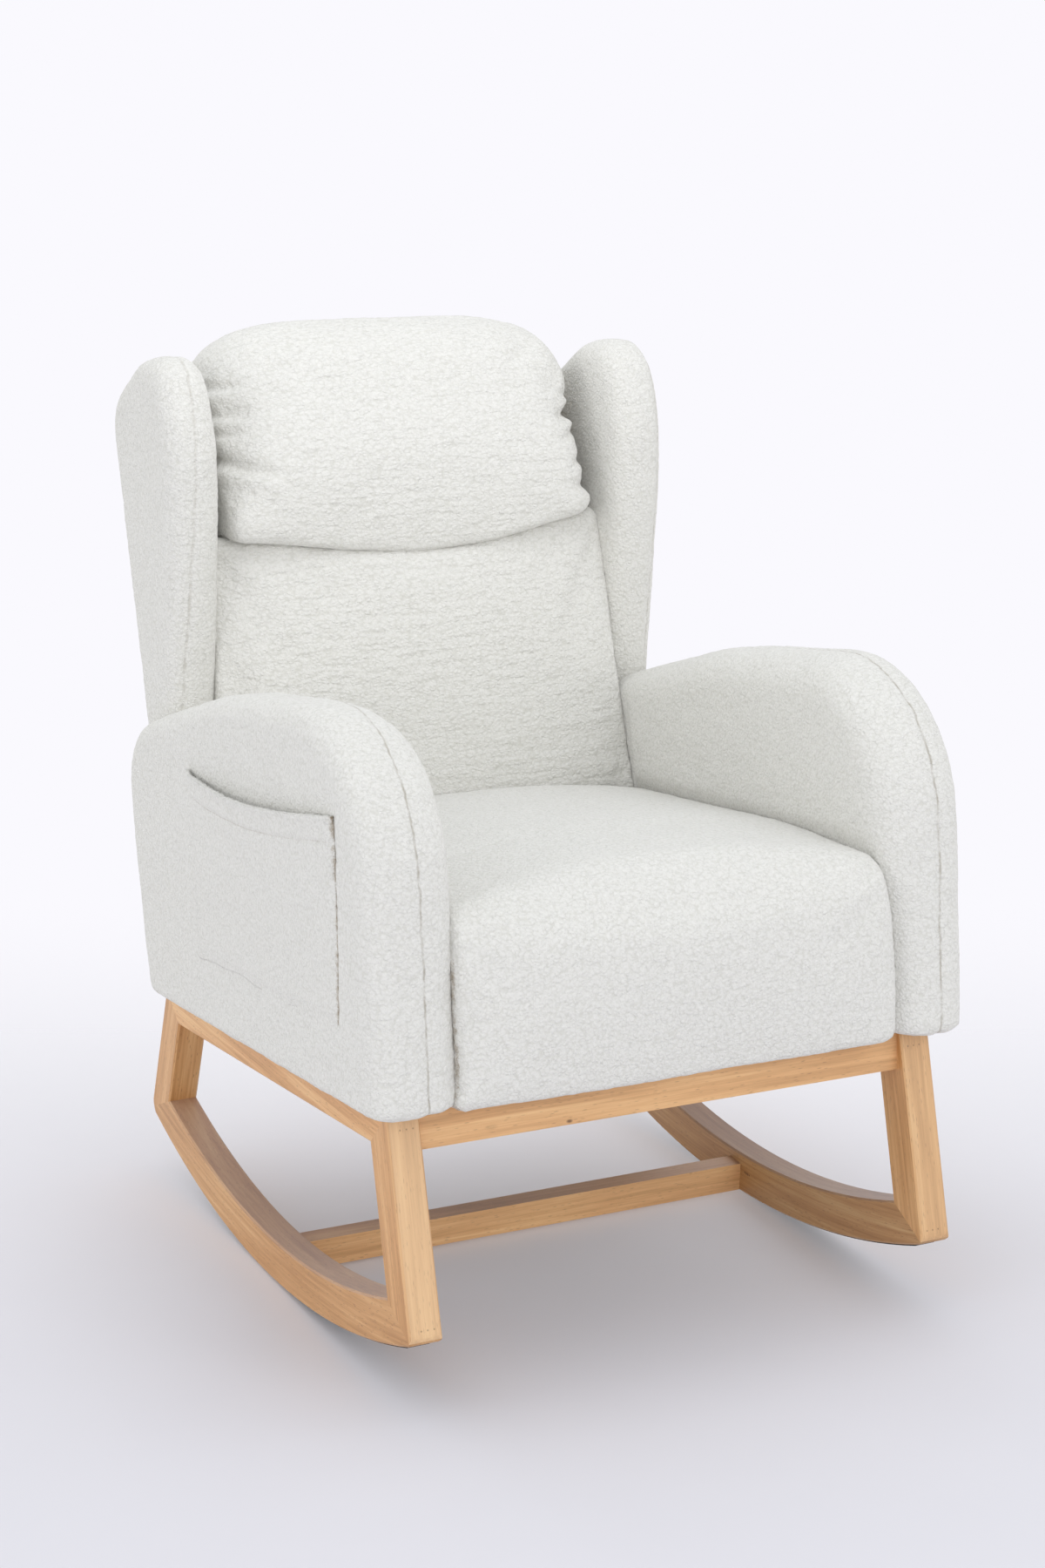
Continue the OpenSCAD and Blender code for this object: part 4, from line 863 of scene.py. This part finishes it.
# Back cushion and head roll meet at a line that sags in the middle and sits a little higher on the
# far side. Each bump of the line is its place across the chair, width and height.
back = {
    "foot": 368.0,
    "crease": 819.0,
    "creaseDip": 30.0,
    "creaseBumps": [(185, 70, 6.5), (0, 50, -2.0), (-170, 60, 2.0), (-258, 45, -6.0)],
    "swell": 34.0,
    "edge": 22.0,
    "top": 1069.0,
    "turnBack": 14.0,
    "waves": [(120, 31, 1.8), (40, 32, 0.6)],
}


def crease(x):
    z = back["crease"] - back["creaseDip"] * (1 - (x / coverHalf) ** 2)
    for middle, width, height in back["creaseBumps"]:
        z += height * math.exp(-((x - middle) / width) ** 2)
    return z


def stileY(z):  # front of the back frame
    depth = chair["boardThickness"] + chair["stileThickness"]
    return rearY(z) - depth / math.cos(math.radians(chair["rearLean"]))


def backSection(x):
    e = fullness(x, chair["seatHalf"], 2.2)
    top = crease(x) + press
    mid = (back["foot"] + top) / 2 + 40
    return inset([
        [faceY(back["foot"]) + 4, back["foot"], 6], [stileY(back["foot"]) - 2.3, back["foot"], 4],
        [stileY(top) - 2.3, top, 5], [faceY(top) - back["swell"] * 1.22 * e - 2, top, 17],
        [faceY(mid) - back["swell"] * 0.95 * e, mid, 900], [faceY(seatEdgeZ) - 4 * e, seatEdgeZ - 30, 200],
    ], edgeDrop(x, coverHalf, back["edge"]) * 0.7 + 0.001)


def backSewn(p):
    line = np.array([crease(x) for x in p[:, 0]])
    behind = p[:, 1] > faceY(p[:, 2]) + 20
    return (np.abs(p[:, 0]) > coverHalf - 6) | behind | (p[:, 2] < seatEdgeZ) | (p[:, 2] > line - 3)


backCover = makeCushion("backCover", backSection, coverHalf, back["edge"])
puffOut(backCover, backSewn)
refine(backCover)
# its hidden edge falls back behind the near wing
local = toChair(readPoints(backCover))
local[:, 1] += back["turnBack"] * smooth(-local[:, 0], 208, 250) * smooth(local[:, 2], 800, 620)
writePoints(backCover, toWorld(local))
points = readPoints(backCover)
pushOut(backCover, waves(points, back["waves"]))
ruffle(backCover, 80)
finishPad(backCover, rowedFleece, ["back_cushion"])

# Head roll: its ends are gathered, with folds that run in from them. Each fold is its path across
# and up the face, its width and its depth. The notches are where the folds reach the far edge:
# height, width and depth.
head = {
    "half": 238.0,
    "edge": 34.0,
    "hiddenEdge": 16.0,
    "turnBack": 15.0,
    "swell": 52.0,
    "draw": 11.0,
    "waves": [(120, 41, 1.8), (40, 42, 0.6)],
    "folds": [
        ([(-242, 986), (-190, 992)], 7.0, 6.0), ([(-242, 955), (-185, 958)], 7.0, 6.0),
        ([(-242, 933), (-200, 934)], 5.0, 4.0), ([(-242, 906), (-215, 894), (-160, 880)], 8.5, 9.0),
        ([(232, 937), (198, 931)], 6.0, 6.0), ([(232, 915), (192, 906)], 5.0, 3.5),
        ([(232, 960), (204, 965)], 5.0, 3.5), ([(236, 882), (200, 873)], 6.0, 3.5),
        ([(238, 850), (200, 846)], 6.0, 3.5),
    ],
    "notches": [(937, 8, 4), (905, 6, 2), (960, 9, -3)],
}


def headSection(x):
    s = (max(0.0, fullness(x, head["half"] + 4, 4.4))) ** (1 / 4.4)
    foot = crease(x) - press
    top = back["crease"] + 80 + (back["top"] - back["crease"] - 80) * s
    waist = back["crease"] + 70
    return inset([
        [faceY(foot) - head["swell"] * (0.5 + 0.42 * s), foot, 13], [rearY(foot), foot, 10],
        [rearY(top) + 4, top - 16, 66], [faceY(top) - head["swell"] * 0.2 * s, top, 80],
        [faceY(waist) - head["swell"] * (0.25 + 0.95 * s), waist, 220],
    ], edgeDrop(x, head["half"], head["edge"] if x > 0 else head["hiddenEdge"]) * 0.8 + 0.001)


def headSewn(p):
    line = np.array([crease(x) for x in p[:, 0]])
    return (np.abs(p[:, 0]) > head["half"] - 10) | (p[:, 1] > faceY(p[:, 2]) + 40) | (p[:, 2] < line + 4)


headCover = makeCushion("headRollCover", headSection, head["half"], head["edge"])
puffOut(headCover, headSewn)
refine(headCover)
points = readPoints(headCover)
local = toChair(points)
depths = waves(points, head["waves"])
onFace = smooth(local[:, 1], faceY(local[:, 2]) + 70, faceY(local[:, 2]) + 20)
for path, width, depth in head["folds"]:
    depths += fold(local, path, width, depth) * onFace
pushOut(headCover, depths)
local = toChair(readPoints(headCover))
behind = rearY(local[:, 2])
atFace = smooth(local[:, 1], behind - 10, behind - 90)
turned = smooth(-local[:, 0], 175, 238) ** 1.5 * smooth(local[:, 2], 830, 880) * atFace
local[:, 1] += head["turnBack"] * turned
drawn = head["draw"] * smooth(local[:, 2], 828, 856) * smooth(local[:, 2], 990, 945)
for height, width, depth in head["notches"]:
    drawn += depth * bell(local[:, 2], height, width)
local[:, 0] -= drawn * smooth(local[:, 0], 150, 232)
writePoints(headCover, toWorld(local))
ruffle(headCover, 90)
finishPad(headCover, rowedFleece, ["head_roll"])

# Outer back: turned over the top of the frame, and tucked in behind the wings and the arms
outer = {
    "mesh": 3.5,
    "foot": 274.0,
    "top": 978.0,
    "thickness": 8.1,
    "lip": 38.0,
    "lipDepth": 5.0,
    "tuck": 11.0,
    "tuckTop": 935.0,
}


def outerSection(x):
    tucked = smooth(abs(x), coverHalf, coverHalf + 3)
    foot = outer["foot"]
    top = outer["top"] - (outer["top"] - outer["tuckTop"]) * tucked
    lip = outer["lip"] - (outer["lip"] - outer["thickness"] - 1) * tucked
    inward = 2.5 * tucked
    under = top - outer["lipDepth"]
    return [
        [rearY(foot) - outer["thickness"], foot, 1.5], [rearY(foot) - inward, foot, 3],
        [rearY(top) - inward, top, 3], [rearY(top) - lip, top, 2], [rearY(top) - lip, under, 1],
        [rearY(under) - outer["thickness"], under - 0.2, 1],
    ]


sides = [coverHalf + outer["tuck"], coverHalf + 4, coverHalf, coverHalf / 2]
across = [-x for x in sides] + [0.0] + sides[::-1]
outerCover = loft("outerBackCover", [[(x, *p) for p in rounded(outerSection(x), 3)] for x in across])
remesh(outerCover, outer["mesh"])
ruffle(outerCover, 95)
finishPad(outerCover, plainFleece, ["outer_back"])

# Pockets: lined cloth sewn down on three sides, with a hem turned at the mouth. Brown painted shade
# lies in the gap along the front edge, and a painted shadow along the hem's sewn line.
pocket = {
    "out": 348.3,
    "front": -250.65,
    "frontLean": 13.0,
    "rear": 183.0,
    "width": 430.0,
    "foot": 357.0,
    "top": 575.0,
    "height": 215.0,
    "dip": 13.0,
    "room": 10.0,
    "cloth": 5.44,
    "hem": 27.0,
    "faces": (170, 90),
    "quickFaces": (60, 32),
}


def mouthHeight(u):  # u runs from 0 at the front edge to 1 at the rear edge
    sag = pocket["dip"] * np.sin(math.pi * u) ** 1.2
    return pocket["top"] - 7 * smooth(u, 0.2, 1.0) - sag + 3 * bell(u, 0.99, 0.02)


def makePocket(side):
    sideName = "left" if side > 0 else "right"
    columns, rows = pocket["faces"]
    bm = bmesh.new()
    grid = bmesh.ops.create_grid(bm, x_segments=columns, y_segments=rows, size=0.5)["verts"]
    uv = np.clip([(v.co.x + 0.5, v.co.y + 0.5) for v in grid], 0, 1)
    u, w = uv[:, 0], uv[:, 1]
    front = pocket["front"] + pocket["frontLean"] * (1 - w) ** 2
    wavy = 1.2 * np.sin(17 * w) + 0.8 * np.sin(41 * w)
    y = front + (pocket["rear"] - front) * u + wavy * smooth(u, 0.8, 1.0)
    mouth = mouthHeight(u)
    foot = pocket["foot"] + 1.8 * np.sin(11 * u) + 1.0 * np.sin(29 * u + 1)
    z = foot + (mouth - foot) * w
    room = pocket["room"] * w ** 1.5 * np.sin(math.pi * u) ** 0.5 - 2.5 * (1 - w) * smooth(u, 0.0, 0.1)
    room -= 0.9 * bell(u * pocket["width"], 0, 7)
    sag = 2.0 * bell(u, 0.72, 0.14) * bell(w, 0.7, 0.12)
    x = side * (pocket["out"] + np.maximum(room - sag, -1.0))
    for vert, p in zip(grid, toWorld(np.stack([x, y, z], 1))):
        vert.co = Vector(p)
    for face in bm.faces:
        face.normal_update()
    if (sum(face.normal.x for face in bm.faces) > 0) != (side > 0):
        bmesh.ops.reverse_faces(bm, faces=bm.faces)
    obj = makeObject("pocketCloth" + sideName.capitalize(), bm)
    # thin along the sewn edges, thick at the hem, thickest in the curly roll at the mouth
    down = mouth - z
    sewn = np.minimum(np.minimum(u, 1 - u) * pocket["width"], w * pocket["height"])
    thick = 0.25 + 0.55 * smooth(sewn, 0, 14) + 0.2 * smooth(down, pocket["hem"] + 3, pocket["hem"] - 3)
    thick += 0.55 * bell(down, 0, 6) - 0.4 * bell(down, pocket["hem"], 2.6)
    thick = thick / thick.max()
    group = obj.vertex_groups.new(name="thick")
    for i, value in enumerate(thick):
        group.add([i], float(value), "REPLACE")
    cloth = obj.modifiers.new("cloth", "SOLIDIFY")
    cloth.thickness = pocket["cloth"] / 1000.0
    cloth.offset = 1.0
    cloth.vertex_group = group.name
    bake(obj)
    obj.vertex_groups.clear()
    points = readPoints(obj)
    local = toChair(points)
    lean = smooth(local[:, 2], pocket["top"] - 20, pocket["foot"]) ** 2
    nearFront = pocket["front"] + pocket["frontLean"] * lean
    inward = local[:, 1] - nearFront
    # painted shade along the pocket's front seam, and a painted shadow along the hem's sewn line
    frontSeamShade = 0.62 - inward / 14.0 + lumps(points, 6.0, 96) * 0.3
    across = np.clip(inward / (pocket["rear"] - nearFront), 0, 1)
    down = mouthHeight(across) - local[:, 2]
    stitchShadow = 0.5 * bell(down, pocket["hem"], 1.8) * smooth(across, 0.0, 0.03)
    setPaintedShade(obj, np.maximum(frontSeamShade, stitchShadow))
    atMouth = smooth(local[:, 2], pocket["top"] - 34, pocket["top"] - 12)
    frayed = bell(inward, 0, 4)
    pushOut(obj, lumps(points, 6.0, 97) * (0.4 + 1.3 * atMouth) + lumps(points, 30, 98) * 0.5)
    local = toChair(readPoints(obj))
    local[:, 1] += lumps(points, 6.0, 99) * 1.4 * frayed
    writePoints(obj, toWorld(local))
    finishPad(obj, plainFleece, ["pocket_" + sideName])


makePocket(1)
makePocket(-1)
print("covers made")

# Floor, light and camera. A lamp is its turn from straight in front towards -X and its height, both
# in degrees, its distance and size in metres, its power in watts, and the place that it looks at.
stage = {
    "floor": "#E2E1E7",
    "floorCloud": "#E4E3E9",
    "floorSize": 14.0,
    "cloudSize": 333.3,
    "fadeAlong": (0.434, 0.901, 0.0),
    "fadeFrom": -0.5,
    "fadeTo": 1.4,
    "backdrop": "#FAF9FE",
    "horizon": "#FFFEFA",
    "sky": "#F7FAFF",
    "world": 0.95,
    "lamps": {
        "rightSoftbox": (-15, 20, 3.6, 1.6, 15.7, (0, 0, 0.55)),
        "leftSoftbox": (72, 8, 3.6, 1.6, 12.4, (0, 0, 0.55)),
        "headSoftbox": (12, 62, 0.95, 0.6, 3.1, (0, 0.3, 1.12)),
    },
}

# Paper: nearly white and matt. It fades into the backdrop behind the chair, as a rolled sheet does.
bm = bmesh.new()
bmesh.ops.create_grid(bm, x_segments=1, y_segments=1, size=stage["floorSize"])
floor = makeObject("floor", bm)
material, add = newMaterial("paper studio floor")
place = add("TexCoord").outputs["Object"]
clouds = add("TexNoise", {"Vector": place, "Scale": 1000 / stage["cloudSize"], "Detail": 5.0})
colour = add("ValToRGB", {"Fac": clouds.outputs["Fac"]},
             stops=[(0.3, stage["floor"]), (0.7, stage["floorCloud"])])
shader = add("BsdfPrincipled", {"Base Color": colour.outputs["Color"], "Roughness": 0.8,
                                "Specular IOR Level": 0.2})
clear = add("BsdfTransparent")
behind = add("VectorMath", {0: place, 1: stage["fadeAlong"]}, operation="DOT_PRODUCT")
fade = add("MapRange", {"Value": behind.outputs["Value"], "From Min": stage["fadeFrom"],
                        "From Max": stage["fadeTo"]}, interpolation_type="SMOOTHSTEP").outputs[0]
blended = add("MixShader", {0: fade, 1: shader.outputs[0], 2: clear.outputs[0]})
add("OutputMaterial", {"Surface": blended.outputs[0]})
floor.data.materials.append(material)

# The camera and reflections see the plain backdrop, and the chair is lit by a soft sky.
world = bpy.data.worlds.new("studio")
bpy.context.scene.world = world
world.use_nodes = True
world.node_tree.nodes.clear()
add = partial(addNode, world.node_tree)
path = add("LightPath").outputs
seen = path["Is Camera Ray"]
for ray in ("Is Glossy Ray", "Is Transmission Ray"):
    seen = add("Math", {0: seen, 1: path[ray]}, operation="ADD", use_clamp=True).outputs[0]
toward = add("SeparateXYZ", {0: add("TexCoord").outputs["Generated"]}).outputs["Z"]
sky = add("ValToRGB", {"Fac": toward}, stops=[(0.0, stage["horizon"]), (0.9, stage["sky"])])
lit = add("Background", {"Color": sky.outputs["Color"], "Strength": stage["world"]})
shown = add("Background", {"Color": linear(stage["backdrop"]), "Strength": 1.0})
mixed = add("MixShader", {0: seen, 1: lit.outputs[0], 2: shown.outputs[0]})
add("OutputWorld", {0: mixed.outputs[0]})

for name, (turn, height, reach, size, power, aim) in stage["lamps"].items():
    across, rise = math.radians(turn), math.radians(height)
    away = Vector((-math.sin(across) * math.cos(rise), -math.cos(across) * math.cos(rise), math.sin(rise)))
    data = bpy.data.lights.new(name, "AREA")
    data.shape = "SQUARE"
    data.size = size
    data.energy = power
    lamp = bpy.data.objects.new(name, data)
    lamp.location = Vector(aim) + away * reach
    lamp.rotation_euler = away.to_track_quat("Z", "Y").to_euler()
    lamp.visible_camera = False
    bpy.context.scene.collection.objects.link(lamp)

# The camera stands where the photograph was taken from; lens and sensor are in millimetres.
view = {
    "lens": 65.64,
    "sensorHeight": 36.0,
    "place": (-1.3605, -2.83177, 1.29348),
    "right": (0.901050, -0.433713, 0.000640),
    "up": (0.101530, 0.212365, 0.971890),
    "back": (-0.42167, -0.875664, 0.235391),
}
camera = bpy.data.cameras.new("camera")
camera.sensor_fit = "VERTICAL"
camera.sensor_height = view["sensorHeight"]
camera.lens = view["lens"]
eye = bpy.data.objects.new("camera", camera)
turned = Matrix((view["right"], view["up"], view["back"])).transposed().to_4x4()
eye.matrix_world = Matrix.Translation(view["place"]) @ turned
bpy.context.scene.collection.objects.link(eye)
bpy.context.scene.camera = eye
bpy.context.scene.view_settings.view_transform = "Standard"
